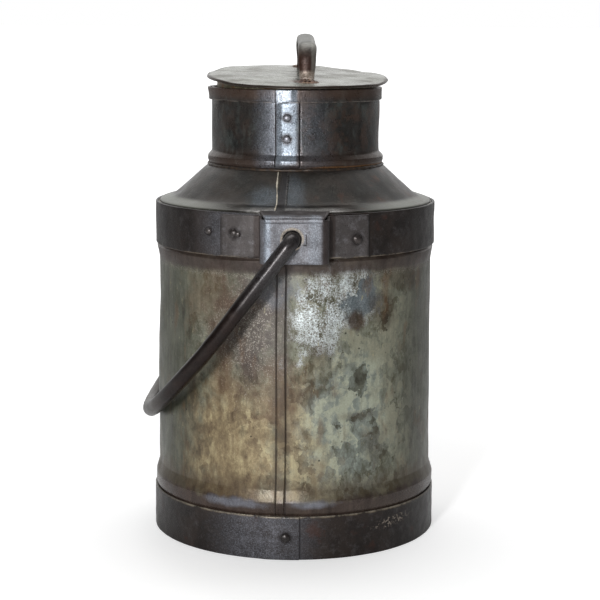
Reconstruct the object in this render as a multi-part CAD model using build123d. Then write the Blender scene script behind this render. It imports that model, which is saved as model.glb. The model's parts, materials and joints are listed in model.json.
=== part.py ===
from build123d import *
from math import asin, cos, radians, sin
import os

# A three-gallon milk can: riveted sheet-metal body, swinging bail, plug lid with a strap handle.
# Millimetres. The can's axis is Z, the floor is Z = 0, and the front (the seams' side) faces -Y.
# Azimuths are degrees from the front, positive towards +X.

# Sheet thicknesses
SHELL_T = 1.2
CONE_T = 1.2
NECK_T = 1.2
BAND_T = 2.0
BRACKET_T = 2.2
PLATE_T = 1.2
PLUG_T = 1.0

# Body shell, from the foot up
FOOT_R = 122.2
FOOT_H = 36.6
TUCK_LOW_R = FOOT_R - BAND_T
FLARE_LOW_R = 121.3
WAIST_LOW_R = 118.5
WAIST_TOP_R = 117.4
FLARE_TOP_R = 119.2
SHELL_BOTTOM_Z = 3.5
TUCK_LOW_Z = FOOT_H + 0.4
FLARE_FOOT_Z = FOOT_H + 2.6
FLARE_LOW_Z = 48.0
WAIST_LOW_Z = 58.0
WAIST_TOP_Z = 236.0
FLARE_TOP_Z = 246.6
SHELL_TOP_Z = 283.4
SHELL_BENDS = [0.8, 1.0, 5.0, 6.0, 8.0, 1.0, 0.8]
SEAM_AZIMUTH = -5.1
SEAM_WIDTH = 7.4
SEAM_RISE = 1.3
SEAM_SINK = 0.6
SEAM_FOOT_Z = 42.0
SEAM_HEAD_Z = 245.0
SEAM_SOLDER_T = 0.7

# Floor of the can
FLOOR_Z = 11.0
FLOOR_CROWN = 3.0
FLOOR_FLAT_R = 30.0
FLOOR_BENDS = [2.0, 40.0]
FLOOR_SOLDER_GAP = 0.35
FLOOR_SOLDER_W = 3.4
FLOOR_SOLDER_H = 3.0

# Neck radii
NECK_R = 71.7
NECK_BEAD_R = 75.2
SPIGOT_R = NECK_R - NECK_T

# Shoulder
SHOULDER_R = 120.0
SHOULDER_LOW_Z = 249.4
SHOULDER_TOP_Z = 285.3
SHOULDER_BAND_T = 2.4
TUCK_TOP_R = SHOULDER_R - SHOULDER_BAND_T
CONE_FLANGE_Z = 256.0
CONE_EDGE = (104.0, 291.0)
CONE_BRIM_Z = 286.6
CONE_TOP_Z = 319.7
CONE_SPIGOT_Z = 326.0
CONE_BENDS = [2.0, 12.0, 2.5]
CONE_SLOPE = (CONE_TOP_Z - CONE_EDGE[1]) / (CONE_EDGE[0] - SPIGOT_R)
CONE_SEAM_AZIMUTH = -8.3
CONE_SEAM_WIDTH = 1.6
CONE_SEAM_TOP_R = 79.0
CONE_SEAM_FOOT_R = 107.0
CONE_SEAM_T = 0.45

# Neck and mouth
NECK_FOOT_Z = 318.0
NECK_BEAD_LOW_Z = NECK_FOOT_Z + 2.6
NECK_BEAD_TOP_Z = NECK_FOOT_Z + 6.0
NECK_WALL_Z = NECK_FOOT_Z + 10.0
NECK_BENDS = [1.6, 1.8, 3.0]
NECK_SOLDER_W = 2.6
MOUTH_Z = 381.9
MOUTH_BAND_T = 2.2
MOUTH_BAND_H = 10.2

# Laps, each from its soft edge's azimuth to its sharp edge's
LAP_RISE = 1.2
LAP_SINK = 0.4
LAP_FEATHER = 0.02
LAP_RAMP = 0.3
BASE_LAP = (-15.5, 2.4)
NECK_LAP = (-12.5, 2.6)
MOUTH_LAP = (1.0, -12.4)

# Bail brackets and bail
PIVOT_Z = 266.8
PIVOT_X = -1.8
BOX_HALF = 27.8
BOX_FRONT = 134.0
BOX_LOW_Z = 246.8
BOX_TOP_Z = 282.6
BOX_CORNER_R = 7.0
FLAP_HALF = 23.3
FLAP_SETBACK = 0.6
FLAP_REACH = 6.0
WING_AZIMUTH = 29.4
WING_LOW_Z = 249.9
WING_TOP_Z = 284.2
PIVOT_HOLE_R = 7.4
BAIL_ROD_R = 6.5
BAIL_HALF_WIDTH = 142.0
BAIL_LEG = 63.0
BAIL_ELBOW_R = 8.0
BAIL_DROP = 52.7
BAIL_HEAD_R = 9.2
BAIL_HEAD_T = 3.2
WASHER_R = 11.0
WASHER_T = 1.6
WASHER_GAP = 0.4
WASHER_FIT = 0.05

# Lid: it sits cocked in the mouth, its front edge lowest
LID_CENTRE = (1.5, -0.5, 391.2)
LID_TILT = 5.1
LID_ROLL = 1.1
LID_R = 77.4
LID_LIP = 1.8
LID_CROWN = 1.2
LID_BENDS = [0.6, 20.0, 40.0]
PLUG_R = 68.2
PLUG_DEPTH = 18.0
PLUG_FLANGE = 8.0
PLUG_BEND = 1.6
HANDLE_X = 6.8
HANDLE_YAW = 1.3
HANDLE_WIDTH = 15.2
HANDLE_CROWN = 4.5
HANDLE_SHEET = 1.6
HANDLE_RISE = 28.0
HANDLE_FRONT_TOE = -57.0
HANDLE_REAR_TOE = 63.0
HANDLE_TOE = 12.0
HANDLE_RAKE = 8.0
HANDLE_BASE = 1.0
HANDLE_BENDS = [8.0, 14.0, 14.0, 8.0]
BRAZE_HALF_X = 11.0
BRAZE_HALF_Y = 8.5
BRAZE_H = 1.8
BRAZE_INSET = 5.0
BRAZE_TAPER = 24

# Rivets: the azimuth and height of each, and the head's and shank's radius of each kind
BASE_RIVET = (-3.0, 19.3)
BASE_RIVET_SIZE = (4.0, 2.0)
NECK_RIVETS = [(-5.3, 359.2), (-5.3, 341.6)]
NECK_RIVET_SIZE = (3.3, 1.8)
BAND_RIVETS = [(-35.6, 269.0), (144.4, 269.0)]
BAND_RIVET_SIZE = (2.8, 1.6)
WING_RIVETS = [(-23.3, 268.6), (24.4, 264.8)]
WING_RIVET_SIZE = (4.0, 2.2)
RIVET_CLEARANCE = 0.1
RIVET_DOME = 0.62
RIVET_TAIL_R = 0.8
RIVET_TAIL_H = 0.3
DRILL_LENGTH = 24.0


def save(name, solid):
    """Write one node's solids."""
    export_step(solid, f"parts/{name}.step")


def spun(section):
    """Turn a section drawn as (radius, height) about the can's axis."""
    return revolve(Plane.XZ * section, Axis.Z)


def ring(points):
    """A ring whose section is a plain polygon of (radius, height) points."""
    return spun(make_face(Polyline(*points, close=True)))


def sheet(outer_face, thickness, bends):
    """A bent sheet's section: its outer face, then its thickness inwards, with one radius per bend."""
    line = FilletPolyline(*outer_face, radius=bends)
    return make_face(line.offset_2d(thickness, side=Side.LEFT))


def hoop(inner_r, outer_r, low_z, top_z):
    """A plain flat hoop."""
    return ring([(inner_r, low_z), (outer_r, low_z), (outer_r, top_z), (inner_r, top_z)])


def on_circle(radius, azimuth):
    """The plan position at an azimuth from the front."""
    return (radius * sin(radians(azimuth)), -radius * cos(radians(azimuth)))


def lap(radius, rise, edges, low_z, top_z):
    """The outer layer of a lapped hoop: it ramps up from its soft edge and stops square at its sharp one."""
    soft_edge, sharp_edge = edges
    ramp_end = soft_edge + (sharp_edge - soft_edge) * LAP_RAMP
    middle = (soft_edge + sharp_edge) / 2
    back = radius - LAP_SINK
    foot = radius - LAP_FEATHER
    ramp = Line(on_circle(foot, soft_edge), on_circle(radius + rise, ramp_end))
    crest = ThreePointArc(
        on_circle(radius + rise, ramp_end),
        on_circle(radius + rise, (ramp_end + sharp_edge) / 2),
        on_circle(radius + rise, sharp_edge),
    )
    step = Line(on_circle(radius + rise, sharp_edge), on_circle(back, sharp_edge))
    under = ThreePointArc(
        on_circle(back, sharp_edge), on_circle(back, middle), on_circle(back, soft_edge)
    )
    start = Line(on_circle(back, soft_edge), on_circle(foot, soft_edge))
    outline = make_face([ramp, crest, step, under, start])
    return extrude(Pos(0, 0, low_z) * outline, top_z - low_z)


def radial_plane(radius, azimuth, height):
    """A plane on the can's outside at a radius, its Z axis pointing straight out."""
    x, y = on_circle(radius, azimuth)
    return Plane(origin=(x, y, height), z_dir=(x, y, 0))


def rivet(outside_r, inside_r, spot, size):
    """A rivet set from outside: domed head, shank through the sheets, flat clenched tail."""
    head_r, shank_r = size
    head_h = head_r * RIVET_DOME
    grip = outside_r - inside_r + RIVET_CLEARANCE
    tail_r = head_r * RIVET_TAIL_R
    tail_h = head_r * RIVET_TAIL_H
    sphere_r = (head_r**2 + head_h**2) / (2 * head_h)
    halfway = asin(head_r / sphere_r) / 2
    shoulder = (sphere_r * sin(halfway), sphere_r * cos(halfway) - sphere_r + head_h)
    dome = ThreePointArc((head_r, 0), shoulder, (0, head_h))
    rest = Polyline(
        (0, head_h),
        (0, -grip - tail_h),
        (tail_r, -grip - tail_h),
        (tail_r, -grip),
        (shank_r, -grip),
        (shank_r, 0),
        (head_r, 0),
    )
    section = make_face([dome, *rest.edges()])
    return radial_plane(outside_r, *spot) * revolve(Plane.XZ * section, Axis.Z)


def rivet_holes(wall_r, spots, size):
    """The drillings for rivets of one size, each through one side of the can."""
    bore = Cylinder(size[1] + RIVET_CLEARANCE, DRILL_LENGTH)
    return [radial_plane(wall_r, *spot) * bore for spot in spots]


def shoulder_drillings():
    """Every hole through the shoulder band and what it clamps."""
    rear = [(azimuth + 180, height) for azimuth, height in WING_RIVETS]
    wing_holes = rivet_holes(SHOULDER_R, WING_RIVETS + rear, WING_RIVET_SIZE)
    return wing_holes + rivet_holes(SHOULDER_R, BAND_RIVETS, BAND_RIVET_SIZE)


def drilled(solid, holes):
    """A solid with a list of holes taken out of it."""
    for hole in holes:
        solid = solid - hole
    return solid


def strip_down(line, out, back, azimuth, width):
    """A flat strip that follows a (radius, height) line, standing off and sunk in by fixed amounts."""
    outer = [(r + out, z) for r, z in line]
    inner = [(r - back, z) for r, z in reversed(line)]
    section = make_face(Polyline(*outer, *inner, close=True))
    strip = extrude(Plane.XZ * section, width / 2, both=True)
    return Rot(0, 0, azimuth - 90) * strip


def body_shell():
    """The rolled body: tucked into both bands, flared beside them, with its raised lock seam."""
    outside = [
        (TUCK_LOW_R, SHELL_BOTTOM_Z),
        (TUCK_LOW_R, TUCK_LOW_Z),
        (FLARE_LOW_R, FLARE_FOOT_Z),
        (FLARE_LOW_R, FLARE_LOW_Z),
        (WAIST_LOW_R, WAIST_LOW_Z),
        (WAIST_TOP_R, WAIST_TOP_Z),
        (FLARE_TOP_R, FLARE_TOP_Z),
        (TUCK_TOP_R, SHOULDER_LOW_Z - 0.8),
        (TUCK_TOP_R, SHELL_TOP_Z),
    ]
    shell = spun(sheet(outside, SHELL_T, SHELL_BENDS))
    seam_line = [
        (FLARE_LOW_R, SEAM_FOOT_Z),
        (FLARE_LOW_R, FLARE_LOW_Z),
        (WAIST_LOW_R, WAIST_LOW_Z),
        (WAIST_TOP_R, WAIST_TOP_Z),
        (FLARE_TOP_R - 0.4, SEAM_HEAD_Z),
    ]
    seam = strip_down(seam_line, SEAM_RISE, SEAM_SINK, SEAM_AZIMUTH, SEAM_WIDTH)
    base_holes = rivet_holes(FOOT_R, [BASE_RIVET], BASE_RIVET_SIZE)
    return drilled(shell + seam, base_holes + shoulder_drillings())


def body_seam_solder():
    """The run of solder that seals the lock seam on the inside."""
    clear = SHELL_T + 0.2
    line = [(WAIST_LOW_R - clear, WAIST_LOW_Z + 4), (WAIST_TOP_R - clear, WAIST_TOP_Z - 4)]
    return strip_down(line, 0.0, SEAM_SOLDER_T, SEAM_AZIMUTH, SEAM_WIDTH)


def base_plate():
    """The floor of the can: a crowned disc with a flange turned down inside the shell."""
    flange_r = TUCK_LOW_R - SHELL_T
    crown_z = FLOOR_Z + FLOOR_CROWN
    outside = [
        (flange_r, SHELL_BOTTOM_Z),
        (flange_r, FLOOR_Z),
        (FLOOR_FLAT_R, crown_z),
        (0, crown_z),
    ]
    return spun(sheet(outside, PLATE_T, FLOOR_BENDS))


def base_solder():
    """The fillet of solder round the edge of the floor."""
    wall = TUCK_LOW_R - SHELL_T
    low = FLOOR_Z + FLOOR_SOLDER_GAP
    return ring([(wall, low), (wall, low + FLOOR_SOLDER_H), (wall - FLOOR_SOLDER_W, low)])


def base_band():
    """The foot ring, lapped and riveted at the front."""
    band = hoop(TUCK_LOW_R, FOOT_R, 0, FOOT_H)
    band = band + lap(FOOT_R, LAP_RISE, BASE_LAP, 0, FOOT_H)
    return drilled(band, rivet_holes(FOOT_R, [BASE_RIVET], BASE_RIVET_SIZE))


def shoulder_band():
    """The hoop that clamps shell and cone together and carries the brackets."""
    band = hoop(TUCK_TOP_R, SHOULDER_R, SHOULDER_LOW_Z, SHOULDER_TOP_Z)
    return drilled(band, shoulder_drillings())


def shoulder_cone():
    """The shoulder: a flange inside the shell, a brim, the cone, and a spigot inside the neck."""
    flange_r = TUCK_TOP_R - SHELL_T
    outside = [
        (flange_r, CONE_FLANGE_Z),
        (flange_r, CONE_BRIM_Z),
        CONE_EDGE,
        (SPIGOT_R, CONE_TOP_Z),
        (SPIGOT_R, CONE_SPIGOT_Z),
    ]
    cone = spun(sheet(outside, CONE_T, CONE_BENDS))
    return drilled(cone, shoulder_drillings())


def shoulder_solder():
    """Solder in the groove between the shell's top edge, the brim and the band."""
    inner = TUCK_TOP_R - SHELL_T
    low = SHELL_TOP_Z
    return ring([(inner, low), (TUCK_TOP_R, low), (TUCK_TOP_R, low + 1.2), (inner, low + 0.7)])


def cone_seam_solder():
    """The pale line of solder down the cone's seam, lying on the sheet."""
    edge_r, edge_z = CONE_EDGE
    top = (CONE_SEAM_TOP_R, edge_z + (edge_r - CONE_SEAM_TOP_R) * CONE_SLOPE)
    bottom = (CONE_SEAM_FOOT_R, edge_z + (edge_r - CONE_SEAM_FOOT_R) * CONE_SLOPE * 0.42)
    line = [(r, z + 0.2) for r, z in (top, CONE_EDGE, bottom)]
    raised = [(r + CONE_SEAM_T * 0.8, z + CONE_SEAM_T) for r, z in reversed(line)]
    section = make_face(Polyline(*line, *raised, close=True))
    strip = extrude(Plane.XZ * section, CONE_SEAM_WIDTH / 2, both=True)
    return Rot(0, 0, CONE_SEAM_AZIMUTH - 90) * strip


def neck_collar():
    """The neck: a bead swaged out at its foot, and a riveted lap at the front."""
    outside = [
        (NECK_BEAD_R - 1.0, NECK_FOOT_Z),
        (NECK_BEAD_R, NECK_BEAD_LOW_Z),
        (NECK_BEAD_R, NECK_BEAD_TOP_Z),
        (NECK_R, NECK_WALL_Z),
        (NECK_R, MOUTH_Z),
    ]
    neck = spun(sheet(outside, NECK_T, NECK_BENDS))
    neck = neck + lap(NECK_R, LAP_RISE, NECK_LAP, NECK_WALL_Z + 1, MOUTH_Z - MOUTH_BAND_H)
    return drilled(neck, rivet_holes(NECK_R, NECK_RIVETS, NECK_RIVET_SIZE))


def neck_solder():
    """The fillet of solder under the neck's bead."""

    def on_cone(radius):
        return (radius, CONE_EDGE[1] + (CONE_EDGE[0] - radius) * CONE_SLOPE + 0.05)

    outer = NECK_BEAD_R - 0.9
    inner = NECK_R + 1.6
    top = NECK_FOOT_Z - 0.05
    return ring([(inner, top), on_cone(inner + 0.1), on_cone(outer + NECK_SOLDER_W), (outer, top)])


def mouth_band():
    """The flat strip round the mouth, its ends lapped over each other at the front."""
    outer = NECK_R + MOUTH_BAND_T
    low = MOUTH_Z - MOUTH_BAND_H
    band = hoop(NECK_R, outer, low, MOUTH_Z)
    return band + lap(outer, LAP_RISE * 0.8, MOUTH_LAP, low, MOUTH_Z)


def bracket_wings():
    """The bracket's two wings, curved to lie on the shoulder band."""
    reach = SHOULDER_R * 1.2
    corners = [on_circle(reach, azimuth) for azimuth in (-WING_AZIMUTH, WING_AZIMUTH)]
    wedge = make_face(Polyline((0, 0), *corners, close=True))
    gap = Pos(0, -BOX_FRONT / 2) * Rectangle(2 * BOX_HALF - 1, BOX_FRONT + 40)
    wings = ((Circle(SHOULDER_R + BRACKET_T) - Circle(SHOULDER_R)) & wedge) - gap
    return extrude(Pos(0, 0, WING_LOW_Z) * wings, WING_TOP_Z - WING_LOW_Z)


def bracket_box():
    """The box between the wings: front and two sides."""
    outer = box_outline(BOX_HALF, BOX_FRONT, BOX_CORNER_R)
    inner = box_outline(BOX_HALF - BRACKET_T, BOX_FRONT - BRACKET_T, BOX_CORNER_R - BRACKET_T)
    walls = (outer - inner) - Circle(SHOULDER_R)
    return extrude(Pos(0, 0, BOX_LOW_Z) * walls, BOX_TOP_Z - BOX_LOW_Z)


def bracket_flap():
    """The flap that closes the top of the box, sloping back to the band."""
    front = -BOX_FRONT + FLAP_SETBACK
    back = -SHOULDER_R + FLAP_REACH
    slope = Polyline(
        (front, BOX_TOP_Z),
        (front, BOX_TOP_Z - BRACKET_T),
        (back, SHOULDER_TOP_Z - BRACKET_T),
        (back, SHOULDER_TOP_Z),
        close=True,
    )
    flap = extrude(Plane.YZ * make_face(slope), FLAP_HALF, both=True)
    return flap - Pos(0, 0, BOX_TOP_Z) * Cylinder(SHOULDER_R, BOX_TOP_Z - BOX_LOW_Z)


def bracket(pivot_x):
    """A bail bracket at the front: two wings on the band and a box between them, bent from one plate."""
    solid = bracket_wings() + bracket_box() + bracket_flap()
    pivot_hole = Cylinder(PIVOT_HOLE_R, BOX_CORNER_R)
    solid = solid - Pos(pivot_x, -BOX_FRONT, PIVOT_Z) * Rot(90, 0, 0) * pivot_hole
    return drilled(solid, rivet_holes(SHOULDER_R, WING_RIVETS, WING_RIVET_SIZE))


def box_outline(half_width, front, corner_r):
    """The bracket box in plan, its two front corners rounded."""
    back = SHOULDER_R * 0.9
    centre = -(front + back) / 2
    blank = Pos(0, centre) * Rectangle(2 * half_width, front - back)
    front_corners = blank.vertices().sort_by(Axis.Y)[:2]
    return fillet(front_corners, corner_r)


def wing_rivets():
    """The two rivets through a bracket's wings, the band, the shell and the cone's flange."""
    outside = SHOULDER_R + BRACKET_T
    inside = TUCK_TOP_R - SHELL_T - CONE_T
    return Compound([rivet(outside, inside, spot, WING_RIVET_SIZE) for spot in WING_RIVETS])


def arms_plane():
    """The plane of the bail at rest, its X axis along the arms: down to the left, beside the body."""
    across, down = cos(radians(BAIL_DROP)), sin(radians(BAIL_DROP))
    return Plane(origin=(PIVOT_X, 0, PIVOT_Z), x_dir=(-across, 0, -down), z_dir=(-down, 0, across))


def bail_handle():
    """The bail: one round rod, elbowed in through each bracket, its ends upset into heads."""
    inside = BOX_FRONT - BRACKET_T - WASHER_GAP - WASHER_T - BAIL_HEAD_T
    elbow = BAIL_HALF_WIDTH - BAIL_ELBOW_R
    cut = BAIL_ELBOW_R * (1 - cos(radians(45)))
    path = Wire([
        Line((0, -inside), (0, -elbow)),
        ThreePointArc((0, -elbow), (cut, -BAIL_HALF_WIDTH + cut), (BAIL_ELBOW_R, -BAIL_HALF_WIDTH)),
        Line((BAIL_ELBOW_R, -BAIL_HALF_WIDTH), (BAIL_LEG, -BAIL_HALF_WIDTH)),
        ThreePointArc(
            (BAIL_LEG, -BAIL_HALF_WIDTH), (BAIL_LEG + BAIL_HALF_WIDTH, 0), (BAIL_LEG, BAIL_HALF_WIDTH)
        ),
        Line((BAIL_LEG, BAIL_HALF_WIDTH), (BAIL_ELBOW_R, BAIL_HALF_WIDTH)),
        ThreePointArc((BAIL_ELBOW_R, BAIL_HALF_WIDTH), (cut, BAIL_HALF_WIDTH - cut), (0, elbow)),
        Line((0, elbow), (0, inside)),
    ])
    start = Plane(origin=(0, -inside, 0), z_dir=(0, -1, 0))
    rod = sweep(start * Circle(BAIL_ROD_R), path=path)
    for side in (-1, 1):
        head = Cylinder(BAIL_HEAD_R, BAIL_HEAD_T)
        rod = rod + Pos(0, side * (inside + BAIL_HEAD_T / 2), 0) * Rot(90, 0, 0) * head
    return arms_plane() * rod


def bail_washer(side):
    """A washer between a bracket's inner face and the bail's head; side is -1 in front, 1 behind."""
    middle = BOX_FRONT - BRACKET_T - WASHER_GAP - WASHER_T / 2
    washer = extrude(Circle(WASHER_R) - Circle(BAIL_ROD_R + WASHER_FIT), WASHER_T / 2, both=True)
    return Pos(PIVOT_X, side * middle, PIVOT_Z) * Rot(90, 0, 0) * washer


def lid_place():
    """Where the lid sits: cocked, front edge down, right edge a little down."""
    return Pos(*LID_CENTRE) * Rot(LID_TILT, LID_ROLL, 0)


def lid_plate():
    """The thin lid, a little crowned, with its edge turned down."""
    top = [
        (LID_R, -LID_LIP),
        (LID_R - 0.8, 0),
        (LID_R * 0.78, LID_CROWN * 0.6),
        (LID_R * 0.3, LID_CROWN),
        (0, LID_CROWN),
    ]
    return spun(sheet(top, PLATE_T, LID_BENDS))


def lid_plug():
    """The skirt that fits the mouth, with a flange turned in under the plate."""
    outside = [(PLUG_R, -PLUG_DEPTH), (PLUG_R, -1.1), (PLUG_R - PLUG_FLANGE, -0.95)]
    return spun(sheet(outside, PLUG_T, [PLUG_BEND]))


def lid_solder():
    """Solder in the corner between plug and plate."""
    return ring([(PLUG_R + 0.02, -2.8), (PLUG_R + 1.2, -1.1), (PLUG_R + 0.02, -1.1)])


def lid_handle():
    """The arched strap: half-round in section, hollow side in, its toes flat on the plate."""
    front_heel = HANDLE_FRONT_TOE + HANDLE_TOE
    rear_heel = HANDLE_REAR_TOE - HANDLE_TOE
    line = FilletPolyline(
        (HANDLE_FRONT_TOE, HANDLE_BASE),
        (front_heel, HANDLE_BASE),
        (front_heel + HANDLE_RAKE, HANDLE_RISE),
        (rear_heel - HANDLE_RAKE, HANDLE_RISE),
        (rear_heel, HANDLE_BASE),
        (HANDLE_REAR_TOE, HANDLE_BASE),
        radius=HANDLE_BENDS,
    )
    path = Plane.YZ * line
    half = HANDLE_WIDTH / 2
    inner = half - HANDLE_SHEET
    section = make_face([
        ThreePointArc((-half, 0), (0, HANDLE_CROWN), (half, 0)),
        Line((half, 0), (inner, 0)),
        ThreePointArc((inner, 0), (0, HANDLE_CROWN - HANDLE_SHEET), (-inner, 0)),
        Line((-inner, 0), (-half, 0)),
    ])
    start = Plane(origin=(0, HANDLE_FRONT_TOE, HANDLE_BASE), x_dir=(1, 0, 0), z_dir=(0, -1, 0))
    strap = sweep(start * section, path=path)
    return Pos(HANDLE_X, 0, 0) * Rot(0, 0, HANDLE_YAW) * strap


def lid_handle_braze():
    """A rough low mound of braze round each toe of the handle."""
    strap = lid_handle()
    mounds = []
    for toe, inward in ((HANDLE_FRONT_TOE, 1), (HANDLE_REAR_TOE, -1)):
        x = HANDLE_X - sin(radians(HANDLE_YAW)) * toe
        spread = Pos(x, toe + inward * BRAZE_INSET, HANDLE_BASE) * Ellipse(BRAZE_HALF_X, BRAZE_HALF_Y)
        mound = extrude(spread, BRAZE_H, taper=BRAZE_TAPER)
        mounds += (mound - strap).solids()
    return Compound(mounds)


def main():
    os.makedirs("parts", exist_ok=True)
    turned = Rot(0, 0, 180)
    lid = lid_place()

    save("body_shell", body_shell())
    save("body_seam_solder", body_seam_solder())
    save("base_plate", base_plate())
    save("base_solder", base_solder())
    save("base_band", base_band())
    lap_r = FOOT_R + LAP_RISE
    save("base_band_rivet", rivet(lap_r, TUCK_LOW_R - SHELL_T, BASE_RIVET, BASE_RIVET_SIZE))

    save("shoulder_cone", shoulder_cone())
    save("shoulder_band", shoulder_band())
    save("shoulder_solder", shoulder_solder())
    save("cone_seam_solder", cone_seam_solder())
    inside = TUCK_TOP_R - SHELL_T - CONE_T
    small = [rivet(SHOULDER_R, inside, spot, BAND_RIVET_SIZE) for spot in BAND_RIVETS]
    save("shoulder_band_rivets", Compound(small))

    save("neck_collar", neck_collar())
    save("neck_solder", neck_solder())
    lap_r = NECK_R + LAP_RISE
    pair = [rivet(lap_r, NECK_R - NECK_T, spot, NECK_RIVET_SIZE) for spot in NECK_RIVETS]
    save("neck_rivets", Compound(pair))
    save("mouth_band", mouth_band())

    save("front_bracket", bracket(PIVOT_X))
    save("rear_bracket", turned * bracket(-PIVOT_X))
    save("front_bracket_rivets", wing_rivets())
    save("rear_bracket_rivets", turned * wing_rivets())

    save("bail_handle", bail_handle())
    save("front_bail_washer", bail_washer(-1))
    save("rear_bail_washer", bail_washer(1))

    save("lid_plate", lid * lid_plate())
    save("lid_plug", lid * lid_plug())
    save("lid_solder", lid * lid_solder())
    save("lid_handle", lid * lid_handle())
    save("lid_handle_braze", lid * lid_handle_braze())


main()
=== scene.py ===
import json
import math

import bmesh
import bpy
import numpy as np
from mathutils import Matrix, Vector


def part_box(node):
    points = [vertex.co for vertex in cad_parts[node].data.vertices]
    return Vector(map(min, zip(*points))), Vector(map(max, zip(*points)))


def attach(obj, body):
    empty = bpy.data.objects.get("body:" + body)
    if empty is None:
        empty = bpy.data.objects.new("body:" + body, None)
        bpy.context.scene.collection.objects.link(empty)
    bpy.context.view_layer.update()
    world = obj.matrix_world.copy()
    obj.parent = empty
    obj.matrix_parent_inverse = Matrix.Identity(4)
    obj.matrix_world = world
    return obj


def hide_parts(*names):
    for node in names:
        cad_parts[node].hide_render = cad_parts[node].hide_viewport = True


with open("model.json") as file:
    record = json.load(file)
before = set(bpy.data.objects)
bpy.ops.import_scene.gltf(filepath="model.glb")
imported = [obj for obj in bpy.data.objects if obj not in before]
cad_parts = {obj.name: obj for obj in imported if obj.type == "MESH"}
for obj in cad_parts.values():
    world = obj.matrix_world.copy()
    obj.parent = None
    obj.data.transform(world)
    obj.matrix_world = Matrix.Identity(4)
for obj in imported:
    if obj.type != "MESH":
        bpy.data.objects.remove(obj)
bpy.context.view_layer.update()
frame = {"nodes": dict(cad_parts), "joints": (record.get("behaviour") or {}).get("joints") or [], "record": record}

# Geometry is worked out in millimetres and written in metres.
# The can's axis is Z and its front faces -Y. Azimuths are degrees from the front, positive towards +X.
MM = 0.001


def span(node):
    """The lowest and highest corners of a CAD node, in millimetres."""
    low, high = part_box(node)
    return low / MM, high / MM


# ---------------- sizes, some from the frame and the rest given

_, BASE_HIGH = span("base_band")
SHELL_LOW, SHELL_HIGH = span("body_shell")
BAND_LOW, BAND_HIGH = span("shoulder_band")
CONE_LOW, CONE_HIGH = span("shoulder_cone")
NECK_LOW, NECK_HIGH = span("neck_collar")
MOUTH_LOW, MOUTH_HIGH = span("mouth_band")
BRACKET_LOW, BRACKET_HIGH = span("front_bracket")
_, BAIL_HIGH = span("bail_handle")

FOOT_R = BASE_HIGH.x
FOOT_H = BASE_HIGH.z
SHOULDER_R = BAND_HIGH.x
BASE_SHEET = 2.0
BAND_SHEET = 2.4
MOUTH_SHEET = 2.2
SHEET = 1.2
TUCK_LOW_R = FOOT_R - BASE_SHEET
TUCK_TOP_R = SHOULDER_R - BAND_SHEET
FLARE_LOW_R, FLARE_LOW_Z = 121.3, 48.0
WAIST_LOW_R, WAIST_LOW_Z = 118.5, 58.0
WAIST_TOP_R, WAIST_TOP_Z = 117.4, 236.0
FLARE_TOP_R, FLARE_TOP_Z = 119.2, 246.6
BASE_LAP = (-15.5, 2.4)
SEAM_AZIMUTH = -5.1
SEAM_WIDTH = 7.4

NECK_R = MOUTH_HIGH.x - MOUTH_SHEET
BEAD_R = NECK_HIGH.x
NECK_LAP = (-12.5, 2.6)
MOUTH_LAP = (1.0, -12.4)
MOUTH_Z = MOUTH_HIGH.z
LAP_RISE = 1.2
CONE_EDGE = (104.0, 291.0)
CONE_FOOT_Z = 286.6
CONE_TOP_Z = 319.7
CONE_LAP = (-8.2, -3.7)

HINGE = next(j for j in frame["joints"] if j["name"] == "bail_hinge")
PIVOT_X = HINGE["pos_m"][0] / MM
PIVOT_Z = HINGE["pos_m"][2] / MM
BRACKET_SHEET = 2.2
BOX_HALF = 27.8
BOX_FRONT = -BRACKET_LOW.y
BOX_CORNER_R = 7.0
BOX_TOP_Z = 282.6
PLATE_TOP_Z = BOX_TOP_Z - 0.3
WING_AZIMUTH = 29.4
WING_LOW_Z = 249.9
HOLE_R = 7.4
BAIL_R = 6.5
BAIL_HALF_WIDTH = BAIL_HIGH.y - BAIL_R
BAIL_LEG = 63.0
BAIL_ELBOW_R = 8.0
BAIL_DROP = 52.7
BAIL_HEAD_R = 9.2
BAIL_HEAD_T = 3.2
WASHER_R = 11.0
WASHER_T = 1.6
WASHER_GAP = 0.4

LID_CENTRE = Vector((1.5, -0.5, 391.2))
LID_TILT = 5.1
LID_ROLL = 1.1
LID_R = 77.4
PLUG_R = 68.2
PLUG_DEPTH = 18.0
HANDLE_X = 6.8
HANDLE_YAW = 1.3
HANDLE_WIDTH = 15.2
HANDLE_CROWN = 4.5
HANDLE_SHEET = 1.6
HANDLE_RISE = 28.0
HANDLE_TOES = (-57.0, 63.0)
HANDLE_TOE = 12.0
HANDLE_RAKE = 8.0

# The azimuth and height of each rivet, then the radius of its head and shank
BASE_RIVETS = [(-3.0, 19.3, 4.0, 2.0)]
NECK_RIVETS = [(-5.3, 359.2, 3.3, 1.8), (-5.3, 341.6, 3.3, 1.8)]
BAND_RIVETS = [(-35.6, 269.0, 2.8, 1.6), (144.4, 269.0, 2.8, 1.6)]
WING_RIVETS = [(-23.3, 268.6, 4.0, 2.2), (24.4, 264.8, 4.0, 2.2)]
RIVET_DOME = 0.68  # a head's height, as a share of its radius


# ---------------- mesh tools


def wobble(x, y, z, size, seed, waves=18):
    """A smooth random field of about unit strength whose lumps are about size mm across."""
    rng = np.random.default_rng(seed)
    total = np.zeros_like(x + y + z)
    for _ in range(waves):
        way = rng.normal(size=3)
        way /= np.linalg.norm(way)
        pitch = 2 * math.pi / size * rng.uniform(0.55, 1.35)
        phase = rng.uniform(0, 2 * math.pi)
        total += np.cos(pitch * (way[0] * x + way[1] * y + way[2] * z) + phase)
    return total * math.sqrt(2 / waves)


def ease(value, low, high):
    """0 below low, 1 above high, smooth between."""
    t = np.clip((value - low) / (high - low), 0, 1)
    return t * t * (3 - 2 * t)


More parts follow.
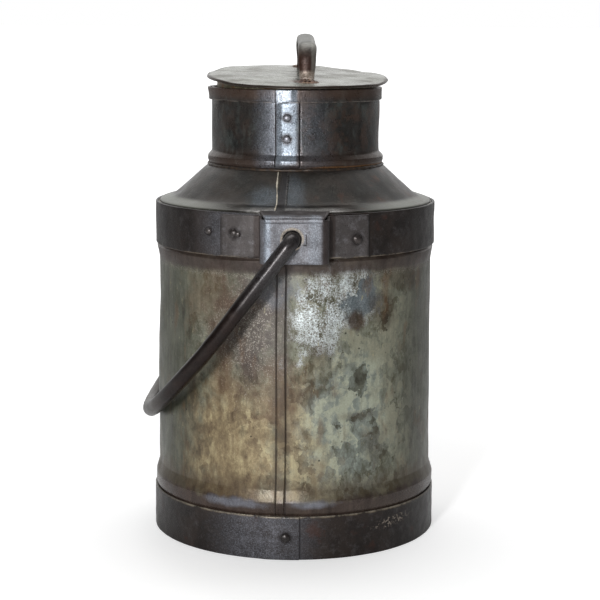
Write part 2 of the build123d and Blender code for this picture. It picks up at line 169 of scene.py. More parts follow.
def hump(value, centre, half):
    """A smooth bump of height 1 at the centre."""
    return np.exp(-(((value - centre) / half) ** 2))


def full_turn(count):
    """Angles evenly round a circle, in radians."""
    return np.linspace(0, 2 * math.pi, count, endpoint=False)


def straight(start, end, step):
    """Points from start up to but not at end, about a step apart."""
    count = max(1, int(np.linalg.norm(end - start) / step))
    return [start + (end - start) * k / count for k in range(count)]


def corner_arc(enter, corner, leave, turn):
    """Points on the arc that rounds a corner, turning by some radians, from enter up to leave."""
    count = max(3, int(math.degrees(turn) / 12))
    weight = math.cos(turn / 2)
    points = []
    for t in np.arange(count) / count:
        w0, w1, w2 = (1 - t) ** 2, 2 * t * (1 - t) * weight, t * t
        points.append((w0 * enter + w1 * corner + w2 * leave) / (w0 + w1 + w2))
    return points


def bent(points, radii, step):
    """Samples along a line of straight runs joined by arcs, one radius per inner corner."""
    pts = [np.array(p, float) for p in points]
    out = []
    start = pts[0]
    for i, radius in enumerate(radii, 1):
        back = pts[i - 1] - pts[i]
        on = pts[i + 1] - pts[i]
        back /= np.linalg.norm(back)
        on /= np.linalg.norm(on)
        half = math.acos(float(np.clip(back @ on, -1, 1))) / 2
        reach = radius / math.tan(half)
        enter = pts[i] + back * reach
        leave = pts[i] + on * reach
        out += straight(start, enter, step) + corner_arc(enter, pts[i], leave, math.pi - 2 * half)
        start = leave
    return np.array([*out, *straight(start, pts[-1], step), pts[-1]])


def directions(line):
    """The unit direction along a line at each of its points."""
    along = np.gradient(line, axis=0)
    return along / np.linalg.norm(along, axis=1)[:, None]


def to_right(along):
    """Directions in a plane, turned a quarter to the right."""
    return np.stack([along[:, 1], -along[:, 0]], 1)


def sheet_loop(points, radii, thickness, step):
    """A sheet's closed section as (radius, height) rows, and which rows are its outer face."""
    outer = bent(points, radii, step)
    along = directions(outer)
    out = to_right(along)
    inner = outer - out * thickness
    half = thickness / 2
    turns = np.linspace(0, math.pi, 7)[1:-1]

    def edge(index, sign):
        middle = outer[index] - out[index] * half
        return [
            middle + out[index] * half * math.cos(a) + sign * along[index] * half * math.sin(a)
            for a in turns
        ]

    rows = [*outer, *edge(-1, 1), *inner[::-1], *edge(0, -1)[::-1]]
    face = np.zeros(len(rows))
    face[: len(outer)] = 1
    return np.array(rows), face


def block_loop(inner_r, outer_r, low, high, radius, step):
    """A hoop's closed section with rounded edges, and which rows are on its outer side."""
    middle = (inner_r + outer_r) / 2
    points = [
        (middle, low), (outer_r, low), (outer_r, high), (inner_r, high), (inner_r, low), (middle, low)
    ]
    rows = bent(points, [radius] * 4, step)[:-1]
    return rows, ease(rows[:, 0], middle, outer_r)


def from_ends(line):
    """How far along a line each of its points is from the nearer end."""
    gone = np.concatenate([[0], np.cumsum(np.linalg.norm(np.diff(line, axis=0), axis=1))])
    return np.minimum(gone, gone[-1] - gone)


def azimuths(count, edges=(), reach=1.0, fine=0.08):
    """Azimuths all the way round, closer together beside each edge."""
    even = np.linspace(-180, 180, count, endpoint=False)
    near = [np.arange(e - reach, e + reach, fine) for e in edges]
    keep = [a for a in even if all(abs(a - e) > reach for e in edges)]
    return np.unique(np.round(np.concatenate([keep, *near]), 4))


def plan(azimuth, radius):
    """Plan positions at azimuths and radii."""
    a = np.radians(azimuth)
    return radius * np.sin(a), -radius * np.cos(a)


def add_mesh(name, *parts):
    """One mesh object from parts of (points in millimetres, faces), its faces smooth and facing out."""
    verts = []
    faces = []
    for points, polygons in parts:
        start = len(verts)
        verts += (np.asarray(points).reshape(-1, 3) * MM).tolist()
        faces += [tuple(start + i for i in polygon) for polygon in polygons]
    mesh = bpy.data.meshes.new(name)
    mesh.from_pydata(verts, [], faces)
    work = bmesh.new()
    work.from_mesh(mesh)
    bmesh.ops.recalc_face_normals(work, faces=work.faces)
    work.to_mesh(mesh)
    work.free()
    mesh.shade_smooth()
    obj = bpy.data.objects.new(name, mesh)
    bpy.context.scene.collection.objects.link(obj)
    return obj


def grid_faces(rows, columns, wrap_rows, wrap_columns):
    """Quads over a grid of points numbered row by row."""
    faces = []
    for i in range(rows if wrap_rows else rows - 1):
        a = i * columns
        b = (i + 1) % rows * columns
        for j in range(columns if wrap_columns else columns - 1):
            k = (j + 1) % columns
            faces.append((a + j, a + k, b + k, b + j))
    return faces


def tube_faces(rows, columns):
    """Quads between closed sections that follow one another, with a cap at each end."""
    last = (rows - 1) * columns
    caps = [tuple(range(columns)), tuple(range(last, last + columns))]
    return grid_faces(rows, columns, False, True) + caps


def lathe(section, angles, shape=None):
    """A closed section turned about the axis. shape(azimuth, radius, height, face) gives new ones."""
    rows, face = section
    az = np.repeat(angles[:, None], len(rows), 1)
    r, z, outer = (np.tile(column, (len(angles), 1)) for column in (*rows.T, face))
    if shape:
        r, z = shape(az, r, z, outer)
    x, y = plan(az, r)
    verts = np.stack([x, y, z], -1)
    return verts, grid_faces(len(angles), len(rows), True, True)


def knob(profile, sides):
    """A solid turned about Z from (radius, height) points that start and end on the axis."""
    turn = full_turn(sides)
    rows = np.array(profile[1:-1], float)
    ring = np.stack([np.cos(turn), np.sin(turn)], -1)
    verts = [(*(r * ring[k]), z) for r, z in rows for k in range(sides)]
    verts += [(0, 0, profile[0][1]), (0, 0, profile[-1][1])]
    faces = grid_faces(len(rows), sides, False, True)
    first, last = len(verts) - 2, len(verts) - 1
    top = (len(rows) - 1) * sides
    faces += [(first, (k + 1) % sides, k) for k in range(sides)]
    faces += [(last, top + k, top + (k + 1) % sides) for k in range(sides)]
    return np.array(verts), faces


def sweep(line, side, section):
    """A closed section carried along a line square to side, its ends capped.

    The section is (across, out) points, either one set or one set for each point of the line.
    """
    out = np.cross(directions(line), side)
    section = np.broadcast_to(section, (len(line), *section.shape[-2:]))
    verts = line[:, None] + section[..., :1] * side + section[..., 1:] * out[:, None]
    return verts, tube_faces(len(line), section.shape[1])


def moved(part, matrix):
    """A part with its points taken through a matrix, in millimetres."""
    points, faces = part
    points = np.asarray(points).reshape(-1, 3)
    m = np.array(matrix)
    return points @ m[:3, :3].T + m[:3, 3], faces


def dress(obj, material):
    """Give an object one material."""
    obj.data.materials.clear()
    obj.data.materials.append(material)


def place(obj, body, slot, node, material=None):
    """Give a finished piece its body and its material, the slot's unless one is given, and hide the CAD node it
    stands for.
    """
    dress(obj, material or MATERIALS[slot])
    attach(obj, body)
    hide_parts(node)


def lap_step(az, soft, sharp, rise, radius):
    """A lap's outer layer: it ramps up from its soft edge and ends at its sharp one, beside a fine gap."""
    way = 1 if sharp > soft else -1
    past = (az - soft) * way
    length = abs(sharp - soft)
    up = ease(past, 0, length * 0.3)
    edge = math.degrees(0.35 / radius)
    gap = math.degrees(0.5 / radius)
    down = 1 - ease(past, length - edge, length)
    return rise * up * down - 0.45 * hump(past, length + gap, gap)


# ---------------- shader tools


def linear(colour):
    """A colour given in 0-255 sRGB, as linear RGBA."""
    shares = [value / 255 for value in colour]
    return (*(c / 12.92 if c <= 0.04045 else ((c + 0.055) / 1.055) ** 2.4 for c in shares), 1.0)


class Value:
    """What a socket gives in a shader. Arithmetic on it adds the nodes that do the sum."""

    def __init__(self, nodes, socket):
        self.nodes = nodes
        self.socket = socket

    def __add__(self, other):
        return self.nodes.calc("ADD", self, other)

    def __sub__(self, other):
        return self.nodes.calc("SUBTRACT", self, other)

    def __mul__(self, other):
        return self.nodes.calc("MULTIPLY", self, other)

    def __truediv__(self, other):
        return self.nodes.calc("DIVIDE", self, other)

    def __abs__(self):
        return self.nodes.calc("ABSOLUTE", self)


class Nodes:
    """A node tree under construction: helpers that add nodes and return what they give."""

    def __init__(self, tree):
        self.tree = tree

    def feed(self, socket, value):
        """Link a socket to a Value or set it. A tuple for a colour socket is 0-255 sRGB."""
        if isinstance(value, Value):
            self.tree.links.new(value.socket, socket)
        elif value is not None:
            socket.default_value = linear(value) if socket.type == "RGBA" else value

    def node(self, kind, *inputs, **settings):
        """A new node with its settings, then its inputs in order; None leaves an input alone."""
        node = self.tree.nodes.new("ShaderNode" + kind)
        for key, value in settings.items():
            setattr(node, key, value)
        for socket, value in zip(node.inputs, inputs):
            self.feed(socket, value)
        return node

    def given(self, node, output=0):
        return Value(self, node.outputs[output])

    def calc(self, operation, a, b=None):
        return self.given(self.node("Math", a, b, operation=operation))

    def most(self, *values):
        total = values[0]
        for value in values[1:]:
            total = self.calc("MAXIMUM", total, value)
        return total

    def vector(self, operation, a, b=None, scale=None):
        return self.given(self.node("VectorMath", a, b, None, scale, operation=operation), "Vector")

    def length(self, vector):
        return self.given(self.node("VectorMath", vector, operation="LENGTH"), "Value")

    def across(self, a, b):
        """The length of a vector that has these two parts."""
        return self.length(self.given(self.node("CombineXYZ", a, b)))

    def level(self, value, low, high, to_low=0.0, to_high=1.0):
        """Map a value smoothly from low..high to to_low..to_high."""
        node = self.node("MapRange", value, low, high, to_low, to_high, interpolation_type="SMOOTHSTEP")
        return self.given(node)

    def band(self, value, low, high, soft):
        """1 where a value lies between low and high, falling to 0 over soft on either side."""
        return self.level(value, low - soft, low + soft) * self.level(value, high + soft, high - soft)

    def ramp(self, value, stops):
        """A colour ramp through (position, colour) stops."""
        node = self.node("ValToRGB", value)
        marks = node.color_ramp.elements
        while len(marks) < len(stops):
            marks.new(0.5)
        for mark, (position, colour) in zip(marks, stops):
            mark.position = position
            mark.color = linear(colour)
        return self.given(node)

    def mix(self, amount, a, b):
        """Mix two colours."""
        node = self.node("Mix", amount, data_type="RGBA")
        self.feed(node.inputs[6], a)
        self.feed(node.inputs[7], b)
        return self.given(node, 2)

    def seen(self, by_camera, by_others):
        """One value for the camera's own rays, another for all the light that falls on things."""
        ray = self.given(self.node("LightPath"), "Is Camera Ray")
        return self.given(self.node("Mix", ray, None, by_others, by_camera))

    def shade_by(self, colour, value, spread):
        """A colour made lighter and darker by a 0-1 value: up to spread either way."""
        start = linear(colour)[:3] if isinstance(colour, tuple) else colour
        return self.vector("SCALE", start, scale=value * (2 * spread) + (1 - spread))


class Shade(Nodes):
    """One material under construction. It works in millimetres, and in azimuths like the meshes."""

    def __init__(self, name):
        self.material = bpy.data.materials.new(name)
        self.material.use_nodes = True
        super().__init__(self.material.node_tree)
        self.tree.nodes.clear()
        self.shader = self.node("BsdfPrincipled")
        self.node("OutputMaterial", self.given(self.shader))
        self.at = self.vector("SCALE", self.given(self.node("TexCoord"), "Object"), scale=1 / MM)
        split = self.node("SeparateXYZ", self.at)
        self.x, self.y, self.z = (self.given(split, axis) for axis in "XYZ")
        self.azimuth = self.calc("ARCTAN2", self.x, self.y * -1.0) * (180 / math.pi)

    def stretched(self, at, stretch):
        return self.vector("MULTIPLY", at, tuple(1 / s for s in stretch)) if stretch else at

    def noise_node(self, size, detail, rough, stretch=None, seed=0.0, at=None):
        at = self.stretched(at or self.at, stretch)
        if seed:
            at = self.vector("ADD", at, (seed * 37.1, seed * 17.7, seed * 53.3))
        return self.node("TexNoise", at, None, 1 / size, detail, rough)

    def noise(self, size, detail=3.0, rough=0.55, stretch=None, seed=0.0, at=None):
        """Noise from 0 to 1 with lumps of about size mm; stretch gives each axis its own factor."""
        return self.given(self.noise_node(size, detail, rough, stretch, seed, at))

    def warped(self, size, amount, seed=0.0, stretch=None):
        """The surface's own coordinates, pushed about by up to half of amount mm."""
        push = self.given(self.noise_node(size, 3.0, 0.6, seed=seed), "Color")
        shift = self.vector("SCALE", self.vector("SUBTRACT", push, (0.5, 0.5, 0.5)), scale=amount)
        return self.stretched(self.vector("ADD", self.at, shift), stretch)

    def cells(self, size, at=None):
        """Cells about size mm across: the distance to the cell's point, and a random grey per cell."""
        node = self.node("TexVoronoi", at or self.at, None, 1 / size)
        grey = self.given(self.node("SeparateColor", self.given(node, "Color")))
        return self.given(node, "Distance"), grey

    def within(self, azimuth, height, half_azimuth, half_height, soft=0.6, ragged=None, lean=0.0):
        """A patch on the can's side: 1 inside, 0 outside, its edge broken up by a value around 0.

        lean is how many degrees of azimuth the patch shifts for each millimetre of height.
        """
        rise = self.z - height
        turn = self.azimuth - azimuth
        if lean:
            turn = turn - rise * lean
        reach = self.across(turn / half_azimuth, rise / half_height)
        return self.level(reach + (ragged or self.ragged), 1 - soft, 1 + soft, 1.0, 0.0)

    def patches_at(self, *places):
        """The most of several patches: rows of within's azimuth, height, halves, soft and a strength."""
        return self.most(*[self.within(*place) * strength for *place, strength in places])

    def round_rivets(self, spots, wall_r, rag):
        """Where grime and painted shade go: a soft ring round each rivet's foot."""
        edge = self.ragged * rag
        rings = []
        for azimuth, height, head_r, _ in spots:
            reach = 1.35 * head_r
            rings.append(self.within(azimuth, height, math.degrees(reach / wall_r), reach, 0.35, edge))
        return self.most(*rings)

    def lay(self, amount, colour):
        """Lay another colour over the material."""
        self.base = self.mix(amount, self.base, colour)

    def finish(self, roughness, metallic, bump, height):
        """Wire the shader up. height is the bump's depth in millimetres."""
        relief = self.node("Bump")
        self.feed(relief.inputs["Distance"], height * MM)
        self.feed(relief.inputs["Height"], bump)
        values = (self.base, roughness, metallic, self.given(relief))
        for key, value in zip(("Base Color", "Roughness", "Metallic", "Normal"), values):
            self.feed(self.shader.inputs[key], value)
        return self.material


# ---------------- materials


class Galvanised(Shade):
    """Old galvanised sheet: overlapping grey, olive and tan spangles, zinc bloom, rust and grime, with painted
    shade round the sides and painted highlights on the lower flare.
    """

    def __init__(self):
        super().__init__("galvanised")
        self.clouds = self.noise(44, 4, 0.6, seed=1)
        self.patches = self.noise(15, 5, 0.65, stretch=(1, 1, 1.4), seed=2)
        self.smears = self.noise(9, 5, 0.7, stretch=(1, 1, 1.8), seed=8)
        self.brushed = self.noise(4, 3, 0.65, stretch=(1, 1, 11), seed=5)
        self.grain = self.noise(1.4, 3, 0.7, seed=3)
        self.dust = self.noise(0.8, 2, 0.7, seed=4)
        self.ragged = self.patches * 2.4 - 1.2
        _, self.broad = self.cells(17, self.warped(11, 22, seed=6, stretch=(1, 1, 1.3)))
        self.spangles()
        self.stains()
        self.zinc_bloom()
        self.rust()
        self.ends()
        self.seam_edges()

    def spangles(self):
        """The zinc's leaves in olive, with tan and pale patches, greyer round the sides and darker there as
        painted shade.
        """
        _, small = self.cells(7, self.warped(6, 11, seed=7))
        right = self.level(self.azimuth, -28, 4, 0.5, 1.0)
        leaves = (self.broad * 0.30 + small * 0.18) * right
        left = self.level(self.azimuth, -28, 4, 0.10, 0.0)
        tone = leaves + self.smears * 0.80 + self.clouds * 0.35 + left
        self.base = self.ramp(tone, [
            (0.48, (50, 46, 34)), (0.66, (88, 85, 67)), (0.80, (118, 120, 105)), (0.94, (142, 141, 122)),
        ])
        tan = self.ramp(tone, [
            (0.48, (60, 47, 34)), (0.66, (108, 92, 70)), (0.82, (142, 126, 96)), (0.96, (176, 162, 126)),
        ])
        pale = self.ramp(tone, [
            (0.48, (56, 54, 43)), (0.66, (94, 97, 86)), (0.82, (130, 138, 131)), (0.96, (164, 168, 150)),
        ])
        self.lay(self.within(-24, 92, 28, 60), tan)
        self.lay(self.within(8, 100, 16, 66) * 0.6, tan)
        self.lay(self.within(22, 112, 17, 56, 0.5) * 0.9, pale)
        # Painted shade: the sides, turning away from the front, darkened towards brushed grey-black.
        side = abs(self.azimuth - 2.0)
        edge = self.level(side, 36, 60) * self.level(side, 128, 96)
        self.lay(edge * 0.8, self.mix(self.brushed, (22, 23, 17), (96, 98, 84)))

    def stains(self):
        """Plum and bronze stains beside the seam, the plum one with bright flecks."""
        plum = self.mix(self.smears, (44, 37, 35), (104, 92, 88))
        self.lay(self.within(-17, 194, 17, 48, 0.5) * 0.85, plum)
        self.lay(self.within(-7, 138, 9, 26) * 0.7, self.mix(self.smears, (70, 50, 40), (132, 112, 86)))
        flecks = self.level(self.grain * 0.6 + self.dust * 0.5 + self.smears * 0.3, 0.73, 0.84)
        self.lay(self.within(-20, 186, 19, 50) * flecks * 0.8, (166, 160, 150))

    def zinc_bloom(self):
        """The pale bloom right of the seam, then the slate and bluish places beside it."""
        crisp = self.ragged + (self.grain * 1.6 - 0.8)
        bloom = self.within(9, 203, 11, 38, 0.16, crisp, lean=0.09)
        bloom = self.most(bloom, self.within(23, 216, 14, 23, 0.16, crisp) * 0.85)
        self.zinc = bloom * self.level(self.smears * 0.7 + self.grain * 0.3, 0.38, 0.47)
        tones = self.ramp(self.grain * 0.45 + self.dust * 0.25 + self.smears * 0.3, [
            (0.38, (66, 50, 38)), (0.45, (118, 112, 100)), (0.51, (178, 184, 184)), (0.60, (232, 240, 242)),
        ])
        self.lay(self.zinc * 0.92, tones)
        slate = self.within(28, 217, 9, 19, 0.3) * self.level(self.broad, 0.42, 0.5)
        self.lay(slate * 0.85, (82, 92, 98))
        self.lay(self.within(-6, 228, 9, 16) * 0.5, (92, 98, 108))

    def rust(self):
        """Rust spots, warm stains, dim smudges, specks, daubs of old paint and scratches."""
        spots = self.patches_at(
            (38, 207, 6, 16, 0.6, 0.7), (50, 230, 16, 11, 0.7, 0.65), (10, 170, 4, 9, 0.7, 0.6),
            (34, 92, 5, 15, 0.6, 0.55), (27, 118, 7, 4, 0.6, 0.55),
        )
        spots = self.most(spots, self.within(25.5, 197, 3.6, 8.5, 0.4, self.ragged * 0.6))
        self.lay(spots * 0.85, self.mix(self.grain, (34, 24, 16), (80, 60, 40)))
        warm = self.level(self.noise(22, 4, 0.65, stretch=(0.7, 0.7, 1.6), seed=9), 0.54, 0.70)
        stained = self.patches_at((-36, 216, 13, 24, 0.6, 1), (-30, 150, 7, 22, 0.7, 1))
        self.lay(self.most(warm, stained) * 0.42, (104, 76, 50))
        dim = self.level(self.noise(12, 5, 0.7, stretch=(1, 1, 2.2), seed=13), 0.56, 0.72)
        self.lay(dim * 0.5, (48, 44, 38))
        centre, chosen = self.cells(11)
        self.lay(self.level(centre, 0.10, 0.05) * self.level(chosen, 0.55, 0.60) * 0.8, (30, 24, 20))
        daubs = self.noise(3.4, 3, 0.6, stretch=(1, 1, 3.2), seed=14, at=self.warped(16, 9, seed=15))
        self.lay(self.level(daubs, 0.66, 0.74) * 0.55, (168, 160, 128))
        scratch = self.noise(1.6, 2, 0.5, stretch=(1, 1, 10), seed=11, at=self.warped(60, 50, seed=12))
        self.lay(self.level(scratch, 0.73, 0.78) * 0.5, (184, 182, 166))

    def ends(self):
        """The dark plum flares at the shell's two ends, the brown skirt above the lower one, and painted
        bluish-white highlights on the lower flare.
        """
        low = self.z + self.ragged * 9.0
        self.lay(self.level(low, 74, 56) * 0.6, (76, 60, 44))
        self.plum_low = self.level(low, 52, 46)
        plum_high = self.level(self.z + self.ragged * 3.5, 232, 240)
        flare = self.mix(self.smears, (24, 17, 16), (82, 66, 61))
        self.lay(self.most(self.plum_low, plum_high) * 0.88, flare)
        # Painted highlights: two bluish-white patches on the lower flare.
        painted_flare_highlight = self.patches_at((-24, 46, 11, 3.4, 0.6, 1), (8, 46.5, 8, 3.4, 0.6, 1))
        self.lay(painted_flare_highlight * 0.6, self.mix(self.smears, (78, 78, 84), (164, 170, 184)))
        chips = self.band(self.z + self.ragged * 4.0, 233, 236, 2.0) * self.level(self.dust, 0.5, 0.6)
        self.lay(chips * 0.5, (156, 152, 138))

    def seam_edges(self):
        """Dirt and painted shade in the creases beside the lock seam, and a darker band along it."""
        arc = abs(self.azimuth - SEAM_AZIMUTH)
        # Dirt and painted shade: dark lines in the grooves either side of the seam.
        self.lay(self.band(arc, 1.72, 2.15, 0.25) * self.level(self.smears, 0.25, 0.5) * 0.85, (26, 21, 21))
        self.lay(self.level(arc, 5.0, 2.2) * self.level(self.smears, 0.35, 0.6) * 0.6, (58, 48, 44))

    def done(self):
        self.base = self.shade_by(self.base, self.grain * 0.5 + self.dust * 0.5, 0.48)
        self.base = self.shade_by(self.base, self.brushed * 0.7 + self.smears * 0.3, 0.42)
        rough = self.level(self.patches, 0.3, 0.7, 0.44, 0.30) + self.plum_low * -0.13
        bump = self.grain * 0.5 + self.dust * 0.2 + self.patches * 0.3 + self.zinc * self.grain * 0.5
        return self.finish(rough, 0.35, bump, 0.35)


class Iron(Shade):
    """Patinated iron: brown-black and finely mottled, with wear, painted sheen and rusty places laid over it."""

    def __init__(self, name, dark, warm, light, seed, mottle=0.35, speckle=0.5):
        super().__init__(name)
        self.patches = self.noise(8, 5, 0.7, seed=seed + 2)
        self.grain = self.noise(1.3, 3, 0.7, seed=seed + 3)
        self.ragged = self.patches * 2.0 - 1.0
        clouds = self.noise(30, 4, 0.6, seed=seed + 1)
        dust = self.noise(0.75, 2, 0.7, seed=seed + 4)
        centre, _ = self.cells(2.6)
        self.pits = self.level(centre, 0.24, 0.10)
        self.spark = self.grain * 0.55 + dust * 0.5 + self.patches * 0.25
        self.base = self.mix(self.level(clouds, 0.36, 0.64), dark, warm)
        self.lay(self.level(self.patches, 0.48, 0.70) * mottle, light)
        self.lay(self.level(self.spark, 0.70, 0.90) * speckle, self.shade_by(light, dust, 0.2))
        self.lay(self.pits * 0.45, (22, 18, 16))

    def wear_and_sheen(self, mask, colour, bright, strength=0.9):
        """A speckled lighter place, used for wear and for painted sheen: colour broken up by the grain, with
        bright flecks.
        """
        speck = self.level(self.spark, 0.52, 0.90)
        cover = self.level(self.patches * 0.7 + self.grain * 0.3, 0.30, 0.52, 0.55, 1.0)
        self.lay(mask * strength * cover, self.mix(speck, colour, bright))

    def rusty(self, size, rough, seed, low, high):
        """Where rust shows: 0 to 1, in clouds of about size mm."""
        return self.level(self.noise(size, 4, rough, seed=seed), low, high)

    def done(self, rough=0.42, metallic=0.5, height=0.3):
        """Finish it with its fleck in its colour, its roughness and its relief."""
        self.base = self.shade_by(self.base, self.spark, 0.34)
        broad = self.level(self.patches, 0.3, 0.7, rough - 0.05, rough + 0.08)
        bump = self.grain * 0.5 + self.patches * 0.3 + self.pits * -0.25
        return self.finish(broad + self.grain * 0.14 - 0.07, metallic, bump, height)


def hoop_iron():
    """The two hoops: brown-black, grey at the front with dust and a painted highlight, rusty at their edges,
    darker towards the sides as painted shade.
    """
    m = Iron("dark_iron", (32, 27, 25), (48, 40, 36), (86, 83, 84), 50)
    # Dust and a painted highlight: grey at the front of the foot band, then of the shoulder band.
    m.wear_and_sheen(m.within(-12, 19, 17, 60) * m.level(m.z, 120, 60), (72, 71, 74), (130, 132, 142), 0.6)
    m.wear_and_sheen(m.within(-27, 268, 11, 40, 0.7) * m.level(m.z, 120, 160), (80, 79, 82), (132, 134, 142), 0.5)
    edge = m.band(m.z, FOOT_H - 1.2, FOOT_H + 2, 0.8)
    edge = m.most(edge, m.band(m.z, BAND_LOW.z - 1, BAND_LOW.z + 0.6, 0.5))
    m.lay(edge * m.level(m.patches, 0.38, 0.60) * 0.7, (138, 124, 104))
    lip = m.band(m.z, FOOT_H - 0.6, FOOT_H + 0.6, 0.3)
    m.lay(lip * m.level(m.patches, 0.30, 0.55) * 0.8, (150, 142, 128))
    chafed = m.level(m.noise(2.2, 3, 0.6, seed=58), 0.52, 0.60)
    m.lay(m.within(44, 24.5, 8, 4.2, 0.4, m.ragged * 1.6, lean=0.8) * chafed * 0.7, (150, 138, 126))
    # Painted shade: darker towards the sides.
    m.lay(m.level(abs(m.azimuth), 42, 66) * 0.7, (22, 18, 17))
    m.lay(m.rusty(18, 0.6, 57, 0.60, 0.74) * 0.4, (74, 44, 34))
    # Grime and painted shade round the rivets' feet.
    rivet_grime_and_shade = m.most(m.round_rivets(BASE_RIVETS, FOOT_R, 0.4), m.round_rivets(BAND_RIVETS, SHOULDER_R, 0.4))
    m.lay(rivet_grime_and_shade * 0.8, (26, 21, 20))
    return m.done(0.36, 0.5, 0.45)


def shoulder_iron():
    """The cone: brown-grey and satin, with dust and a painted sheen on the brim at the sides, a painted highlight
    along the front of the rim, and dark and bluish beside the seam with wear and a painted sheen.
    """
    m = Iron("shoulder_iron", (36, 34, 31), (52, 46, 41), (78, 78, 74), 60, speckle=0.3)
    # Dust and a painted sheen: paler on the brim towards the sides.
    brim = m.band(m.z, 285.5, 290.4, 1.2) * m.level(abs(m.azimuth), 20, 52)
    m.lay(brim * 0.75, m.shade_by((126, 128, 120), m.patches, 0.25))
    # Wear and a painted sheen: bluish-grey at the front beside the seam.
    bluish_wear_and_sheen = m.patches_at((-14, 296, 7, 7, 0.6, 1), (-1, 300, 5, 12, 0.7, 1))
    m.wear_and_sheen(bluish_wear_and_sheen, (60, 67, 73), (112, 122, 130), 0.6)
    # Painted highlight: bright along the front of the rim.
    rim = m.band(m.z, 286.0, 289.0, 0.8) * m.level(abs(m.azimuth), 26, 14)
    m.wear_and_sheen(rim, (132, 130, 128), (200, 198, 194), 0.75)
    left, right = CONE_LAP
    m.lay(m.band(m.azimuth, left + 0.2, right - 0.2, 0.35) * 0.75, (30, 27, 28))
    lap_edge = m.band(m.azimuth, right - 0.6, right + 0.2, 0.3)
    m.lay(lap_edge * m.level(m.grain, 0.4, 0.6) * 0.6, (118, 116, 112))
    m.lay(m.rusty(20, 0.6, 67, 0.56, 0.70) * m.level(m.azimuth, 2, 20) * 0.5, (84, 54, 40))
    m.lay(m.level(m.z, 312, 318) * m.level(m.patches, 0.4, 0.6) * 0.5, (44, 36, 32))
    return m.done(0.36, 0.55)


def neck_iron():
    """The neck: dark and cloudy, rusty low down and round the mouth, with wear and a painted bluish-white
    highlight at the lap, painted highlights on the mouth band's lap and lower edge, and painted shade in the lap's
    creases.
    """
    m = Iron("neck_iron", (34, 34, 33), (50, 46, 43), (74, 78, 78), 70, speckle=0.35)
    smear = m.noise(9, 4, 0.65, stretch=(1, 1, 2.6), seed=78)
    m.lay(m.level(smear, 0.50, 0.66) * 0.6, (78, 83, 80))
    m.lay(m.level(smear, 0.42, 0.30) * 0.7, (20, 18, 17))
    red = m.rusty(14, 0.65, 77, 0.46, 0.62) * m.level(m.azimuth, -14, 14, 0.35, 0.75)
    brown = m.most(m.level(m.z, 370, 378), m.level(m.z, 336, 322) * 0.8, red)
    m.lay(brown * 0.6, (84, 64, 53))
    # Wear and a painted sheen: broad bluish-grey places at the front.
    wide = m.patches_at((-15, 344, 10, 50, 0.7, 1), (10, 340, 12, 40, 0.8, 0.5))
    m.wear_and_sheen(wide, (80, 82, 88), (134, 140, 150), 0.7)
    # Wear and a painted highlight: bluish-white down the lap.
    lap = m.band(m.azimuth + m.ragged * 1.2, NECK_LAP[0] + 0.8, 0.8, 1.6) * m.level(m.z, 318, 326)
    m.wear_and_sheen(lap, (96, 103, 112), (172, 182, 193), 0.95)
    # Painted highlight: bluish-white on the mouth band's lap.
    painted_mouth_lap_highlight = m.band(m.azimuth, MOUTH_LAP[1], -2.0, 0.6) * m.level(m.z, 371, 373)
    m.wear_and_sheen(painted_mouth_lap_highlight, (104, 109, 116), (176, 182, 190), 0.85)
    # Painted shade: dark lines in the creases at the lap's two edges.
    crease = m.most(m.band(m.azimuth, -13.3, -12.6, 0.25), m.band(m.azimuth, 2.4, 3.1, 0.2))
    m.lay(crease * m.level(m.z, 373, 370) * 0.9, (22, 18, 18))
    # Grime and painted shade round the rivets' feet.
    m.lay(m.round_rivets(NECK_RIVETS, NECK_R, 0.3) * 0.85, (34, 24, 22))
    # Painted highlight: a pale line along the mouth band's lower edge.
    painted_hem_highlight = m.band(m.z, MOUTH_LOW.z - 0.5, MOUTH_LOW.z + 0.5, 0.3)
    m.lay(painted_hem_highlight * m.level(m.patches, 0.38, 0.6) * 0.55, (122, 112, 104))
    line = m.band(m.z + m.ragged * 0.8, 316, 319.2, 0.5)
    m.lay(line * m.level(m.azimuth, 4, 22) * 0.8, (126, 92, 60))
    return m.done(0.31, 0.55, 0.4)


